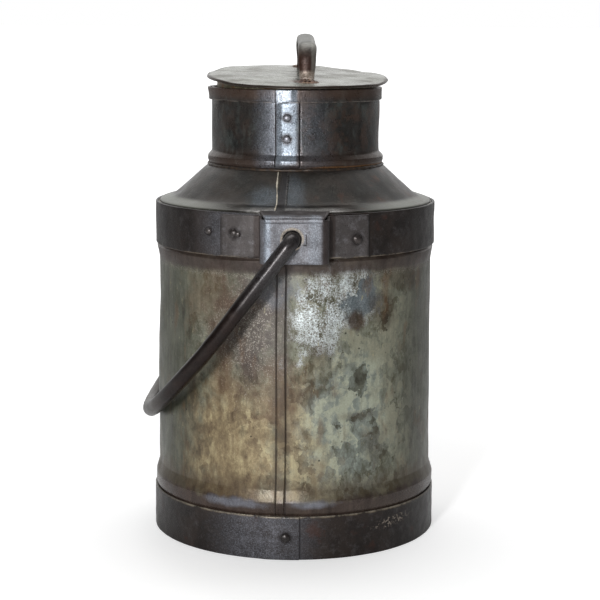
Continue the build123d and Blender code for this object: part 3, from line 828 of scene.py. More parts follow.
def bracket_iron():
    """The brackets: violet-grey plate, burnished round the hole, with wear and a painted sheen on the box's front
    and right, a painted highlight on its left bend and along the wings' lower edge, and painted shade at its right
    corner and in its folds.
    """
    m = Iron("bracket_iron", (66, 62, 61), (82, 77, 76), (124, 122, 126), 80, speckle=0.45)
    side = abs(m.x)
    box = m.level(side, BOX_HALF + 0.6, BOX_HALF - 1.2) * m.level(abs(m.y), 128, 131)
    # Wear and a painted sheen: the box's front lighter and bluish.
    m.wear_and_sheen(box * 0.8, (100, 100, 105), (152, 156, 165), 0.75)
    # Painted highlight: bright down the box's left bend.
    m.wear_and_sheen(m.band(m.x + m.ragged, -24, -19, 1.4) * box, (98, 105, 114), (158, 166, 176), 0.8)
    # Wear and a painted sheen: a lighter band on the right of the front.
    m.wear_and_sheen(m.band(m.x + m.ragged * 2, 12, 20, 3) * box, (98, 102, 108), (156, 160, 168), 0.7)
    # Painted shade: the box's right corner darkened.
    m.lay(m.level(side, 20.5, 23.5) * m.level(m.x, -22, 0) * 0.85 * box, (50, 40, 36))
    # Painted shade: dark in the folds where the box's sides meet the wings.
    fold = m.band(side, BOX_HALF - 1, BOX_HALF + 5, 1.2) * m.level(abs(m.y), 130, 126)
    m.lay(fold * 0.75, (44, 34, 30))
    beside = m.x - PIVOT_X
    above = m.z - PIVOT_Z
    reach = m.across(beside, above)
    ring = m.band(reach + m.ragged * 0.7, HOLE_R, HOLE_R + 2.2, 0.7) * m.level(above, -7, 0)
    m.wear_and_sheen(ring * box, (118, 108, 92), (176, 162, 142), 0.6)
    burr = m.band(reach, HOLE_R + 0.3, HOLE_R + 1.3, 0.4) * m.level(beside, 1.5, 3.0)
    m.lay(burr * m.level(above, -5.0, -6.5) * box, (216, 200, 180))
    nick = m.most(
        m.band(m.x + m.ragged * 0.5, 9.0, 9.9, 0.35) * m.band(m.z, 263.2, 271.2, 0.6),
        m.band(m.x, 6.9, 9.8, 0.5) * m.band(m.z, 261.8, 262.9, 0.35),
    )
    m.lay(nick * m.level(m.y, -128, -132) * 0.9, (24, 18, 16))
    # Grime and painted shade round the rivets' feet.
    m.lay(m.round_rivets(WING_RIVETS, SHOULDER_R, 0.4) * 0.75, (28, 23, 22))
    # Painted highlight: a pale line along the wings' lower edge.
    wing_edge_highlight = m.level(m.z, WING_LOW_Z + 1.4, WING_LOW_Z + 0.4) * m.level(side, BOX_HALF, BOX_HALF + 3)
    m.lay(wing_edge_highlight * m.level(m.patches, 0.40, 0.60) * 0.6, (138, 128, 110))
    return m.done(0.40, 0.5)


def bail_iron():
    """The bail: dark brown and hand-polished, with wear and a painted sheen in grey near the brackets, greyer at
    the grip.
    """
    m = Iron("bail_iron", (25, 20, 19), (38, 28, 25), (60, 52, 47), 90, mottle=0.25, speckle=0.3)
    # Wear and a painted sheen: greyer on the arms near the brackets.
    m.wear_and_sheen(m.level(m.across(m.x, m.z - PIVOT_Z), 76, 30), (54, 52, 53), (88, 87, 89), 0.6)
    m.wear_and_sheen(m.level(m.x, -104, -122), (66, 62, 58), (108, 104, 98), 0.6)
    return m.done(0.31, 0.6, 0.06)


def rivet_iron():
    """The rivets: like the hoops, with the crowns of the neck's two bright with wear and a painted highlight."""
    m = Iron("rivet_iron", (52, 48, 47), (66, 60, 58), (112, 110, 110), 100, mottle=0.5, speckle=0.7)
    # Wear and a painted highlight: bright bluish crowns on the neck's rivets.
    crown = m.level(m.across(m.x, m.y), NECK_R + 1.9, NECK_R + 2.9) * m.level(m.z, 320, 330)
    m.wear_and_sheen(crown, (118, 118, 124), (196, 198, 208), 0.8)
    return m.done(0.34, 0.6)


def handle_iron():
    """The lid's handle: rusty brown down its legs, pale grey and smooth on the crown as painted top light, with a
    painted rim light along the strap's edges.
    """
    m = Iron("handle_iron", (46, 32, 28), (66, 44, 35), (94, 76, 66), 110, mottle=0.5, speckle=0.6)
    # Painted top light: pale grey over the crown.
    m.lay(m.level(m.z + m.ragged * 3.0, 407, 420) * 0.92, m.shade_by((104, 104, 99), m.patches, 0.3))
    # Painted rim light: pale along both edges of the strap.
    m.lay(m.level(abs(m.x - HANDLE_X), 5.2, 7.2) * 0.45, (150, 148, 140))
    heel = m.band(m.z + m.ragged * 1.5, 390, 396, 2) * m.level(m.y, 0, -20)
    m.wear_and_sheen(heel, (150, 132, 116), (216, 206, 196), 0.8)
    return m.done(0.38, 0.45)


def braze():
    """Rough brown brazing, specked with brighter brass."""
    m = Iron("braze", (70, 48, 38), (98, 70, 52), (150, 134, 112), 120, mottle=0.5, speckle=0.8)
    return m.done(0.46, 0.4, 0.5)


def plug_tin():
    """The plug's skirt: stained olive and brown, with pale scraped places and rust."""
    m = Iron("plug_tin", (82, 76, 60), (118, 108, 84), (158, 154, 132), 130, mottle=0.6, speckle=0.7)
    m.lay(m.rusty(9, 0.6, 137, 0.52, 0.64) * 0.75, (104, 72, 44))
    return m.done(0.42, 0.4)


def lid_tin():
    """Dulled tinplate: pale and glossy with grey-brown smudges, a raw brown edge, rust at the toes."""
    s = Shade("lid_tin")
    clouds = s.noise(26, 4, 0.6, seed=31)
    streaks = s.noise(7, 4, 0.65, stretch=(4, 1.6, 1), seed=32, at=s.warped(40, 24, seed=34))
    grain = s.noise(1.6, 3, 0.7, seed=33)
    ragged = streaks * 2 - 1
    s.base = s.ramp(clouds, [(0.3, (104, 102, 91)), (0.5, (144, 145, 136)), (0.7, (174, 177, 169))])
    s.lay(s.level(streaks, 0.48, 0.66) * 0.65, (82, 75, 64))
    s.lay(s.level(grain, 0.60, 0.74) * 0.35, (96, 86, 74))
    for toe in HANDLE_TOES:
        reach = s.across((s.x - HANDLE_X) * 0.075, (s.y - toe * 0.86) * 0.09)
        near = s.level(reach + ragged * 0.8, 1.25, 0.7)
        s.lay(near * 0.7, s.mix(grain, (74, 56, 46), (136, 116, 98)))
    rim = s.across(s.x - LID_CENTRE.x, s.y - LID_CENTRE.y) + ragged * 1.5
    s.lay(s.level(rim, LID_R - 3.0, LID_R - 1.2) * 0.9, s.mix(grain, (28, 21, 18), (70, 54, 45)))
    return s.finish(s.level(streaks, 0.3, 0.7, 0.20, 0.36), 0.6, grain * 0.3 + streaks * 0.7, 0.35)


def solder(name, colour, stain, stain_amount):
    """Dull lumpy solder, stained in places."""
    s = Shade(name)
    lumps = s.noise(3.0, 4, 0.6, seed=41)
    grain = s.noise(0.9, 3, 0.7, seed=42)
    s.base = s.mix(s.level(lumps, 0.40, 0.62) * stain_amount, colour, stain)
    s.base = s.shade_by(s.base, grain, 0.2)
    return s.finish(0.46, 0.4, lumps * 0.7 + grain * 0.3, 0.4)


# The record's material slots
MATERIALS = {
    "galvanised": Galvanised().done(),
    "solder": solder("solder", (168, 164, 152), (92, 84, 74), 0.8),
    "dark_iron": hoop_iron(),
    "shoulder_iron": shoulder_iron(),
    "neck_iron": neck_iron(),
    "bracket_iron": bracket_iron(),
    "bail_iron": bail_iron(),
    "rivet_iron": rivet_iron(),
    "lid_tin": lid_tin(),
    "handle_iron": handle_iron(),
    "braze": braze(),
}
PLUG_TIN = plug_tin()
PALE_SOLDER = solder("pale_solder", (226, 218, 200), (150, 138, 120), 0.5)
RUSTY_SOLDER = solder("rusty_solder", (46, 40, 36), (78, 60, 44), 0.6)


# ---------------- body


def denting(az, r, z, size, depth, seed):
    """Gentle unevenness of hand-worked sheet, the same on both its faces."""
    x, y = plan(az, r)
    return depth * wobble(x, y, z, size, seed)


def make_body_shell():
    """The rolled shell: flared at both ends, its lock seam raised between two grooves."""
    outside = [
        (TUCK_LOW_R, SHELL_LOW.z), (TUCK_LOW_R, FOOT_H + 0.4), (FLARE_LOW_R, FOOT_H + 2.6),
        (FLARE_LOW_R, FLARE_LOW_Z), (WAIST_LOW_R, WAIST_LOW_Z),
        (WAIST_TOP_R, WAIST_TOP_Z), (FLARE_TOP_R, FLARE_TOP_Z),
        (TUCK_TOP_R, BAND_LOW.z - 0.8), (TUCK_TOP_R, SHELL_HIGH.z),
    ]
    section = sheet_loop(outside, [0.8, 1.0, 5.0, 6.0, 8.0, 1.0, 0.8], SHEET, 4.0)
    half = SEAM_WIDTH / 2

    def shape(az, r, z, outer):
        open_part = ease(z, FOOT_H + 1.0, FOOT_H + 4.0)
        open_part *= 1 - ease(z, FLARE_TOP_Z - 2.1, FLARE_TOP_Z + 0.9)
        r = r + open_part * (denting(az, r, z, 75, 0.28, 5) + denting(az, r, z, 26, 0.07, 6))
        arc = np.radians(az - SEAM_AZIMUTH) * WAIST_LOW_R
        arc = arc + 0.35 * np.sin(z / 23.0)
        rise = 1.3 * (ease(arc, -half, -half + 0.8) - ease(arc, half - 0.8, half))
        grooves = 0.35 * (hump(arc, -half - 0.35, 0.4) + hump(arc, half + 0.35, 0.4))
        return r + outer * open_part * (rise - grooves), z

    angles = azimuths(480, (SEAM_AZIMUTH,), reach=2.6, fine=0.12)
    shell = add_mesh("body_shell_skin", lathe(section, angles, shape))
    place(shell, "can", "galvanised", "body_shell")


def make_base_band():
    """The foot ring, with its lap at the front."""
    section = block_loop(TUCK_LOW_R, FOOT_R, 0, FOOT_H, 0.7, 1.6)

    def shape(az, r, z, outer):
        r = r + outer * lap_step(az, *BASE_LAP, LAP_RISE, FOOT_R)
        r = r + outer * (denting(az, r, z, 30, 0.10, 8) + denting(az, r, z, 9, 0.04, 7))
        return r, z

    band = add_mesh("base_band_hoop", lathe(section, azimuths(540, (BASE_LAP[1],)), shape))
    place(band, "can", "dark_iron", "base_band")


def make_shoulder_band():
    """The hoop round the shoulder, plain where the brackets lie on it."""
    section = block_loop(TUCK_TOP_R, SHOULDER_R, BAND_LOW.z, BAND_HIGH.z, 0.7, 1.6)

    def shape(az, r, z, outer):
        clear = ease(np.abs(az), 31, 36) * (1 - ease(np.abs(az), 144, 149))
        dents = denting(az, r, z, 34, 0.12, 9) + denting(az, r, z, 9, 0.05, 10)
        return r + outer * clear * dents, z

    band = add_mesh("shoulder_band_hoop", lathe(section, azimuths(480), shape))
    place(band, "can", "dark_iron", "shoulder_band")


def make_cone():
    """The shoulder: a flange inside the hoop, a brim, a slope with its lap and a spigot for the neck."""
    flange_r = TUCK_TOP_R - SHEET
    spigot_r = NECK_R - SHEET
    outside = [
        (flange_r, CONE_LOW.z), (flange_r, CONE_FOOT_Z), CONE_EDGE,
        (spigot_r, CONE_TOP_Z), (spigot_r, CONE_HIGH.z),
    ]
    section = sheet_loop(outside, [2.0, 12.0, 2.5], SHEET, 2.5)

    def shape(az, r, z, outer):
        slope = ease(z, CONE_FOOT_Z + 0.9, CONE_EDGE[1]) * (1 - ease(z, CONE_TOP_Z - 6.7, CONE_TOP_Z - 2.7))
        left, right = CONE_LAP
        seam = 0.8 * ease(az, left - 0.1, left + 0.2) * (1 - ease(az, right - 0.5, right + 0.5))
        dents = denting(az, r, z, 48, 0.35, 11) + denting(az, r, z, 17, 0.07, 12)
        lift = slope * (dents + outer * seam)
        return r + lift * 0.65, z + lift * 0.76

    cone = add_mesh("shoulder_cone_skin", lathe(section, azimuths(432, CONE_LAP), shape))
    place(cone, "can", "shoulder_iron", "shoulder_cone")


def make_neck():
    """The neck: a swaged bead at its foot and a riveted lap at the front."""
    foot = NECK_LOW.z
    outside = [
        (BEAD_R - 1.0, foot), (BEAD_R, foot + 2.6), (BEAD_R, foot + 6.0),
        (NECK_R, foot + 10.0), (NECK_R, NECK_HIGH.z - 0.4),
    ]
    section = sheet_loop(outside, [1.6, 1.8, 3.0], SHEET, 2.0)

    def shape(az, r, z, outer):
        open_part = ease(z, foot + 3, foot + 9) * (1 - ease(z, MOUTH_LOW.z - 2, MOUTH_LOW.z))
        r = r + open_part * denting(az, r, z, 42, 0.22, 14)
        lap = lap_step(az, *NECK_LAP, LAP_RISE, NECK_R)
        crease = 0.35 * hump(az, NECK_LAP[0] - 0.4, 0.35)
        under_band = 1 - ease(z, MOUTH_LOW.z - 0.6, MOUTH_LOW.z + 0.2)
        return r + outer * under_band * (lap - crease), z

    angles = azimuths(420, (NECK_LAP[0] - 0.4, NECK_LAP[1]))
    neck = add_mesh("neck_collar_skin", lathe(section, angles, shape))
    place(neck, "can", "neck_iron", "neck_collar")


def make_mouth_band():
    """The strip round the mouth: lapped, its lower edge uneven, and pushed out a little on the left."""
    outer_r = MOUTH_HIGH.x
    section = block_loop(NECK_R, outer_r, MOUTH_LOW.z, MOUTH_Z, 0.6, 1.0)

    def shape(az, r, z, outer):
        lap = lap_step(az, *MOUTH_LAP, LAP_RISE * 0.8, outer_r)
        flare = 1.3 * hump(az, -90, 26) * ease(z, MOUTH_LOW.z + 2, MOUTH_Z)
        on_lap = ease(az, -3, MOUTH_LAP[1] + 0.1) * (az > MOUTH_LAP[1])
        sag = -1.1 * (1 - ease(z, MOUTH_LOW.z, MOUTH_Z - 3)) * on_lap
        uneven = 0.4 * wobble(*plan(az, r), z, 34, 16) * (1 - ease(z, MOUTH_LOW.z, MOUTH_Z))
        r = r + outer * (lap + denting(az, r, z, 24, 0.14, 15)) + flare
        return r, z + uneven + sag

    band = add_mesh("mouth_band_strip", lathe(section, azimuths(480, (MOUTH_LAP[1],)), shape))
    place(band, "can", "neck_iron", "mouth_band")


def make_floor_plate():
    """The can's floor, a crowned disc turned down at its edge."""
    wall = TUCK_LOW_R - SHEET
    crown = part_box("base_plate")[1].z / MM
    outside = [(wall, SHELL_LOW.z), (wall, crown - 3), (30, crown), (0.02, crown)]
    section = sheet_loop(outside, [2.0, 40.0], SHEET, 5.0)

    def shape(az, r, z, outer):
        return r, z + ease(wall - r, 4, 20) * ease(r, 1, 20) * denting(az, r, z, 60, 0.35, 17)

    plate = add_mesh("floor_plate_skin", lathe(section, azimuths(180), shape))
    place(plate, "can", "galvanised", "base_plate")


# ---------------- solder


def bead_ring(inner_r, outer_r, low, high, size, seed):
    """An uneven ring of solder."""
    middle_r, middle_z = (inner_r + outer_r) / 2, (low + high) / 2
    turn = full_turn(12)
    rows = np.stack([
        middle_r + (outer_r - inner_r) / 2 * np.cos(turn), middle_z + (high - low) / 2 * np.sin(turn)
    ], 1)

    def shape(az, r, z, outer):
        swell = 1 + size * wobble(*plan(az, r), z, 7, seed)
        return middle_r + (r - middle_r) * swell, middle_z + (z - middle_z) * swell

    return lathe((rows, np.ones(len(rows))), azimuths(360), shape)


def make_solder():
    """Each ring or run of solder, as an uneven bead where its CAD solid is."""
    wall = TUCK_LOW_R - SHEET
    floor_low, floor_high = span("base_solder")
    neck_low, neck_high = span("neck_solder")
    top_low, top_high = span("shoulder_solder")
    floor = bead_ring(wall - 3.0, wall - 0.1, floor_low.z, floor_high.z, 0.12, 21)
    neck = bead_ring(BEAD_R - 3.2, BEAD_R + 0.5, neck_low.z + 0.4, neck_high.z, 0.10, 22)
    top = bead_ring(top_high.x - 1.3, top_high.x - 0.1, top_low.z, top_high.z + 0.1, 0.12, 23)
    place(add_mesh("floor_bead", floor), "can", "solder", "base_solder")
    place(add_mesh("neck_foot_bead", neck), "can", "solder", "neck_solder", RUSTY_SOLDER)
    place(add_mesh("shoulder_bead", top), "can", "solder", "shoulder_solder")


def run_on_wall(line, azimuth, width, thickness, seed):
    """A run of solder down a wall: an uneven flat bead along (radius, height) rows."""
    r, z = line[:, 0], line[:, 1]
    azimuth = np.broadcast_to(azimuth, r.shape)
    x, y = plan(azimuth, r)
    centres = np.stack([x, y, z], 1)
    side = np.array([*plan(azimuth.mean() + 90, 1.0), 0.0])
    turn = full_turn(12)
    ends = ease(np.arange(len(r)), -1, 3) * ease(len(r) - 1 - np.arange(len(r)), -1, 3)
    half = width / 2 * ends * (1 + 0.22 * wobble(x, y, z, 6, seed))
    thick = thickness * ends
    shift = 0.35 * wobble(x, y, z, 22, seed + 1)
    across = shift[:, None] + half[:, None] * np.cos(turn)
    out = thick[:, None] * np.sin(turn)
    return sweep(centres, side, np.stack([across, out], -1))


def make_seam_runs():
    """The pale line of solder down the cone's seam, and the run inside the body's seam."""
    slope = (CONE_TOP_Z - CONE_EDGE[1]) / (CONE_EDGE[0] - NECK_R + SHEET)
    top_r = BEAD_R + 0.4
    top = (top_r, CONE_EDGE[1] + (CONE_EDGE[0] - top_r) * slope + 0.3)
    knee = (CONE_EDGE[0], CONE_EDGE[1] + 0.3)
    foot = (TUCK_TOP_R - 3.0, CONE_FOOT_Z + 0.9)
    line = bent([foot, knee, top], [12.0], 0.8)
    azimuth = CONE_LAP[0] + 0.2 - 2.7 * ease(line[:, 0], CONE_EDGE[0], BEAD_R)
    seam = add_mesh("cone_seam_line", run_on_wall(line, azimuth, 1.2, 0.7, 24))
    place(seam, "can", "solder", "cone_seam_solder", PALE_SOLDER)
    low, high = span("body_seam_solder")
    wall = SHEET + 0.45
    inside = np.linspace((WAIST_LOW_R - wall, low.z), (WAIST_TOP_R - wall, high.z), 90)
    run = add_mesh("body_seam_bead", run_on_wall(inside, SEAM_AZIMUTH, SEAM_WIDTH - 1, 0.45, 26))
    place(run, "can", "solder", "body_seam_solder")


# ---------------- rivets


def rivet_profile(r, shank_r, grip):
    """A domed head, a shank through the sheets and a clenched tail, from the crown down."""
    dome = r * RIVET_DOME
    tail_r = r * 0.85
    quarter = np.linspace(0, math.pi / 2, 9)[1:]
    crown = [(r * math.sin(a), dome * math.cos(a) ** 0.8) for a in quarter]
    foot = [(r, -0.3), (shank_r, -0.4), (shank_r, -grip), (tail_r, -grip), (tail_r, -grip - r * 0.25)]
    return [(0, dome), *crown, *foot, (0, -grip - r * 0.3)]


def rivet(outside_r, inside_r, spot, seed, lobes=((0.0, 0.0, 1.0),)):
    """A hammered rivet, its head a bit out of round. lobes are (across, up, size) of each bump."""
    azimuth, height, head_r, shank_r = spot
    rng = np.random.default_rng(seed)
    parts = []
    for across, up, size in lobes:
        r = head_r * size
        points, faces = knob(rivet_profile(r, shank_r, outside_r - inside_r), 28)
        turn = np.arctan2(points[:, 1], points[:, 0])
        phase = rng.uniform(0, 2 * math.pi, 3)
        lumps = 1 + 0.035 * np.cos(2 * turn + phase[0]) + 0.03 * np.cos(3 * turn + phase[1])
        points[:, :2] *= lumps[:, None]
        head = np.clip(points[:, 2] / (r * RIVET_DOME), 0, 1)
        slope = 0.06 * (1 + np.cos(turn - phase[2]))
        points[:, 2] -= head * slope * np.hypot(points[:, 0], points[:, 1])
        points += (across, up, 0)
        parts.append((points, faces))
    x, y = plan(azimuth, outside_r)
    out = Vector((x, y, 0)).normalized()
    up_way = Vector((0, 0, 1))
    side = up_way.cross(out)
    frame_here = Matrix((side, up_way, out)).transposed().to_4x4()
    frame_here.translation = (x, y, height)
    return [moved(part, frame_here) for part in parts]


def make_rivets():
    """Every rivet, grouped as its CAD node groups them."""
    inner = TUCK_TOP_R - 2 * SHEET
    double = ((-1.2, 0.3, 0.95), (2.7, -0.3, 0.72))
    wing_r = SHOULDER_R + BRACKET_SHEET

    def wing_pair(angle):
        left, right = [(azimuth + angle, *rest) for azimuth, *rest in WING_RIVETS]
        return rivet(wing_r, inner, left, 31, double) + rivet(wing_r, inner, right, 32)

    def row(outside_r, inside_r, spots, seed):
        return [part for k, spot in enumerate(spots) for part in rivet(outside_r, inside_r, spot, seed + k)]

    groups = [
        ("foot_rivet", row(FOOT_R + LAP_RISE, TUCK_LOW_R - SHEET, BASE_RIVETS, 33), "base_band_rivet"),
        ("neck_rivet_pair", row(NECK_R + LAP_RISE, NECK_R - SHEET, NECK_RIVETS, 34), "neck_rivets"),
        ("hoop_rivets", row(SHOULDER_R, inner, BAND_RIVETS, 36), "shoulder_band_rivets"),
        ("front_wing_rivets", wing_pair(0), "front_bracket_rivets"),
        ("rear_wing_rivets", wing_pair(180), "rear_bracket_rivets"),
    ]
    for name, parts, node in groups:
        place(add_mesh(name, *parts), "can", "rivet_iron", node)


# ---------------- brackets


def bracket_plan():
    """The bracket's outer face in plan, from the left wing's end to the right one's, as (x, y) rows."""
    wing_r = SHOULDER_R + BRACKET_SHEET
    fold = math.degrees(math.asin(BOX_HALF / wing_r))
    wing = [plan(-a, wing_r) for a in np.linspace(WING_AZIMUTH, fold + 1.2, 14)]
    corner = (-BOX_HALF, plan(fold, wing_r)[1])
    block = BOX_CORNER_R + 3.0
    half = bent([wing[-1], corner, (-BOX_HALF, -BOX_FRONT), (-block, -BOX_FRONT)], [0.8, BOX_CORNER_R], 1.5)
    left = np.vstack([wing[:-1], half])
    middle = np.stack([np.linspace(-block, block, 13)[1:-1], np.full(11, -BOX_FRONT)], 1)
    right = left[::-1] * (-1, 1)
    return np.vstack([left, middle, right]), len(left) - 1, block


def hole_in_plate(outer_loop, inner_loop, places, verts, faces):
    """A round hole with soft lips, joined to a square loop of points on each face of the front plate."""
    lip = 0.5
    x, z = places[:, 0], places[:, 1] - PIVOT_Z
    angle = np.arctan2(z, x)
    far = np.hypot(x, z)
    rings = [(far + (HOLE_R + lip - far) * share, 0.0) for share in (0.4, 0.75)]
    for bend in np.radians((0, 30, 60, 90)):
        rings.append((HOLE_R + lip * (1 - math.sin(bend)), lip * (1 - math.cos(bend))))
    back = [(r, BRACKET_SHEET - depth) for r, depth in rings[::-1]]
    loops = [outer_loop]
    for radius, depth in rings + back:
        points = np.stack([
            radius * np.cos(angle), np.full(len(angle), -BOX_FRONT + depth), PIVOT_Z + radius * np.sin(angle)
        ], 1)
        loops.append(list(range(len(verts), len(verts) + len(points))))
        verts += points.tolist()
    loops.append(inner_loop)
    count = len(outer_loop)
    for first, second in zip(loops, loops[1:]):
        for k in range(count):
            m = (k + 1) % count
            faces.append((first[k], first[m], second[m], second[k]))


def bracket_levels(block):
    """Heights up the box, as shares of it, and which of them bound the square round the hole."""
    under = np.linspace(BRACKET_LOW.z + 0.7, PIVOT_Z - block, 6)
    beside = np.linspace(PIVOT_Z - block, PIVOT_Z + block, 13)[1:-1]
    over = np.linspace(PIVOT_Z + block, PLATE_TOP_Z - 0.7, 5)
    levels = (np.concatenate([under, beside, over]) - BRACKET_LOW.z) / (PLATE_TOP_Z - BRACKET_LOW.z)
    return levels, len(under) - 1, len(under) + len(beside)


def hand_bent(points, pivot_x, block):
    """The plate's points made a little uneven, with the hole shifted sideways to its pivot."""
    x, y, z = points.T
    clear = ease(np.hypot(x, z - PIVOT_Z), HOLE_R + 1, block + 3) * ease(-y, SHOULDER_R + 4, SHOULDER_R + 8)
    points[:, 1] += clear * 0.16 * wobble(x, y * 0, z, 16, 61)
    points[:, 0] += pivot_x * (1 - ease(np.abs(x), 12, 19)) * (y < -SHOULDER_R - 4)
    on_wing = np.abs(x) > BOX_HALF + 3
    low_edge = 1 - ease(z, WING_LOW_Z, WING_LOW_Z + 8)
    points[:, 2] += on_wing * low_edge * 0.3 * wobble(x, y, z * 0, 14, 62)
    return points


def bracket_sheet(pivot_x):
    """The wings and box, bent from one plate, with its hole."""
    line, first, block = bracket_plan()
    last = len(line) - 1 - first
    out = to_right(directions(line))
    boxed = ease(-line[:, 1], SHOULDER_R + 0.5, SHOULDER_R + 6) * (np.abs(line[:, 0]) < BOX_HALF + 1)
    wing_top = BRACKET_HIGH.z - 0.6
    low = WING_LOW_Z + (BRACKET_LOW.z - WING_LOW_Z) * boxed
    top = wing_top + (PLATE_TOP_Z - wing_top) * boxed
    levels, bottom_row, top_row = bracket_levels(block)

    rim = [(0.2, 0.2), (0.7, 0.0), (BRACKET_SHEET - 0.7, 0.0), (BRACKET_SHEET - 0.2, 0.2)]
    rows = [(0.0, t, 0.0) for t in levels]
    rows += [(depth, 1.0, -drop) for depth, drop in rim]
    rows += [(BRACKET_SHEET, t, 0.0) for t in levels[::-1]]
    rows += [(depth, 0.0, drop) for depth, drop in rim[::-1]]
    verts = []
    for (x, y), (ox, oy), lo, hi in zip(line, out, low, top):
        verts += [(x - ox * depth, y - oy * depth, lo + t * (hi - lo) + shift) for depth, t, shift in rows]
    count = len(rows)
    innermost = 2 * len(levels) + len(rim) - 1

    def inner_row(j):
        return innermost - j

    square = [(i, j) for i in range(first, last) for j in range(bottom_row, top_row)]
    cut = {*square, *((i, inner_row(j + 1)) for i, j in square)}
    faces = [face for face in tube_faces(len(line), count) if divmod(face[0], count) not in cut]

    edge = [(i, bottom_row) for i in range(first, last)]
    edge += [(last, j) for j in range(bottom_row, top_row)]
    edge += [(i, top_row) for i in range(last, first, -1)]
    edge += [(first, j) for j in range(top_row, bottom_row, -1)]
    outer_loop = [i * count + j for i, j in edge]
    inner_loop = [i * count + inner_row(j) for i, j in edge]
    places = np.array([(verts[v][0], verts[v][2]) for v in outer_loop])
    hole_in_plate(outer_loop, inner_loop, places, verts, faces)
    return hand_bent(np.array(verts), pivot_x, block), faces


def bracket_flap():
    """The flap that closes the top of the box: bent back from the front and resting on the band's edge."""
    front, back = -BOX_FRONT + 0.4, -SHOULDER_R + 0.6
    outer = [(front, BOX_TOP_Z - 2.0), (front, BOX_TOP_Z + 0.3), (back, BAND_HIGH.z + 1.2)]
    rows, _ = sheet_loop(outer, [1.7], BRACKET_SHEET - 0.5, 1.2)
    columns = 26
    front_half, flare = 24.4, 4.0
    verts = []
    for u in np.linspace(-1, 1, columns):
        round_end = 0.6 * (1 - math.sqrt(max(0.0, 1 - max(0.0, (abs(u) - 0.97) / 0.03) ** 2)))
        for y, z in rows:
            share = (y - front) / (back - front)
            x = u * (front_half + flare * share) - math.copysign(round_end, u)
            verts.append((x, y, z + 0.12 * wobble(u * 25, y, 0 * y, 12, 63)))
    return np.array(verts), tube_faces(columns, len(rows))


def make_brackets():
    """The front bracket, and the rear one turned half a turn; both holes are on the hinge's line."""
    for name, angle, pivot_x, node in (
        ("front", 0, PIVOT_X, "front_bracket"), ("rear", 180, -PIVOT_X, "rear_bracket")
    ):
        turn = Matrix.Rotation(math.radians(angle), 4, "Z")
        sheet = moved(bracket_sheet(pivot_x), turn)
        bracket = add_mesh(f"{name}_bail_bracket", sheet, moved(bracket_flap(), turn))
        place(bracket, "can", "bracket_iron", node)


# ---------------- bail


def bail_matrix():
    """From the bail's own plane, its X axis along the arms, to its place at rest."""
    drop = math.radians(BAIL_DROP)
    along = Vector((-math.cos(drop), 0, -math.sin(drop)))
    across = Vector((0, 1, 0))
    matrix = Matrix((along, across, along.cross(across))).transposed().to_4x4()
    matrix.translation = (PIVOT_X, 0, PIVOT_Z)
    return matrix


def make_bail():
    """The rod: upset heads inside the brackets, elbows, arms and a half-round grip, a little uneven."""
    inside = BOX_FRONT - BRACKET_SHEET - WASHER_GAP - WASHER_T - BAIL_HEAD_T
    corner_r = BAIL_HALF_WIDTH - 0.01
    elbows = bent([
        (0, -inside), (0, -BAIL_HALF_WIDTH), (BAIL_LEG + 0.02, -BAIL_HALF_WIDTH)
    ], [BAIL_ELBOW_R], 1.2)
    turn = np.linspace(-90, 90, 121)[1:-1]
    grip = np.stack([
        BAIL_LEG + corner_r * np.cos(np.radians(turn)), corner_r * np.sin(np.radians(turn))
    ], 1)
    line = np.vstack([elbows, grip, elbows[::-1] * (1, -1)])
    centres = np.column_stack([line, np.zeros(len(line))])
    away = from_ends(line)
    free = ease(away, 30, 70)
    centres[:, 2] += 0.22 * free * wobble(line[:, 0], line[:, 1], 0 * line[:, 0], 90, 71)
    head = 1 - ease(away, BAIL_HEAD_T, BAIL_HEAD_T + 0.7)
    soft_end = np.sqrt(np.clip(1 - (np.clip(0.8 - away, 0, 0.8) / 0.8) ** 2, 0.2, 1))
    radius = (BAIL_R + (BAIL_HEAD_R - BAIL_R) * head) * soft_end
    facets = full_turn(32)
    lumps = 0.07 * wobble(line[:, :1] + 7 * np.cos(facets), line[:, 1:], 7 * np.sin(facets), 19, 72)
    ring = radius[:, None] + free[:, None] * (lumps - 0.05)
    section = np.stack([ring * np.cos(facets), ring * np.sin(facets)], -1)
    rod = moved(sweep(centres, np.array([0.0, 0.0, 1.0]), section), bail_matrix())
    place(add_mesh("bail_rod", rod), "bail", "bail_iron", "bail_handle")


def make_washers():
    """The two washers behind the brackets."""
    middle = BOX_FRONT - BRACKET_SHEET - WASHER_GAP - WASHER_T / 2
    for name, sign, node in (("front", -1, "front_bail_washer"), ("rear", 1, "rear_bail_washer")):
        rows, _ = block_loop(BAIL_R + 0.02, WASHER_R, -WASHER_T / 2, WASHER_T / 2, 0.35, 0.8)
        ring = lathe((rows, np.ones(len(rows))), azimuths(72))
        stand = Matrix.Translation((PIVOT_X, sign * middle, PIVOT_Z)) @ Matrix.Rotation(math.pi / 2, 4, "X")
        place(add_mesh(f"{name}_washer_ring", moved(ring, stand)), "bail", "bail_iron", node)


# ---------------- lid


def lid_matrix():
    """Where the lid sits: cocked in the mouth."""
    tilt = Matrix.Rotation(math.radians(LID_TILT), 4, "X") @ Matrix.Rotation(math.radians(LID_ROLL), 4, "Y")
    return Matrix.Translation(LID_CENTRE) @ tilt


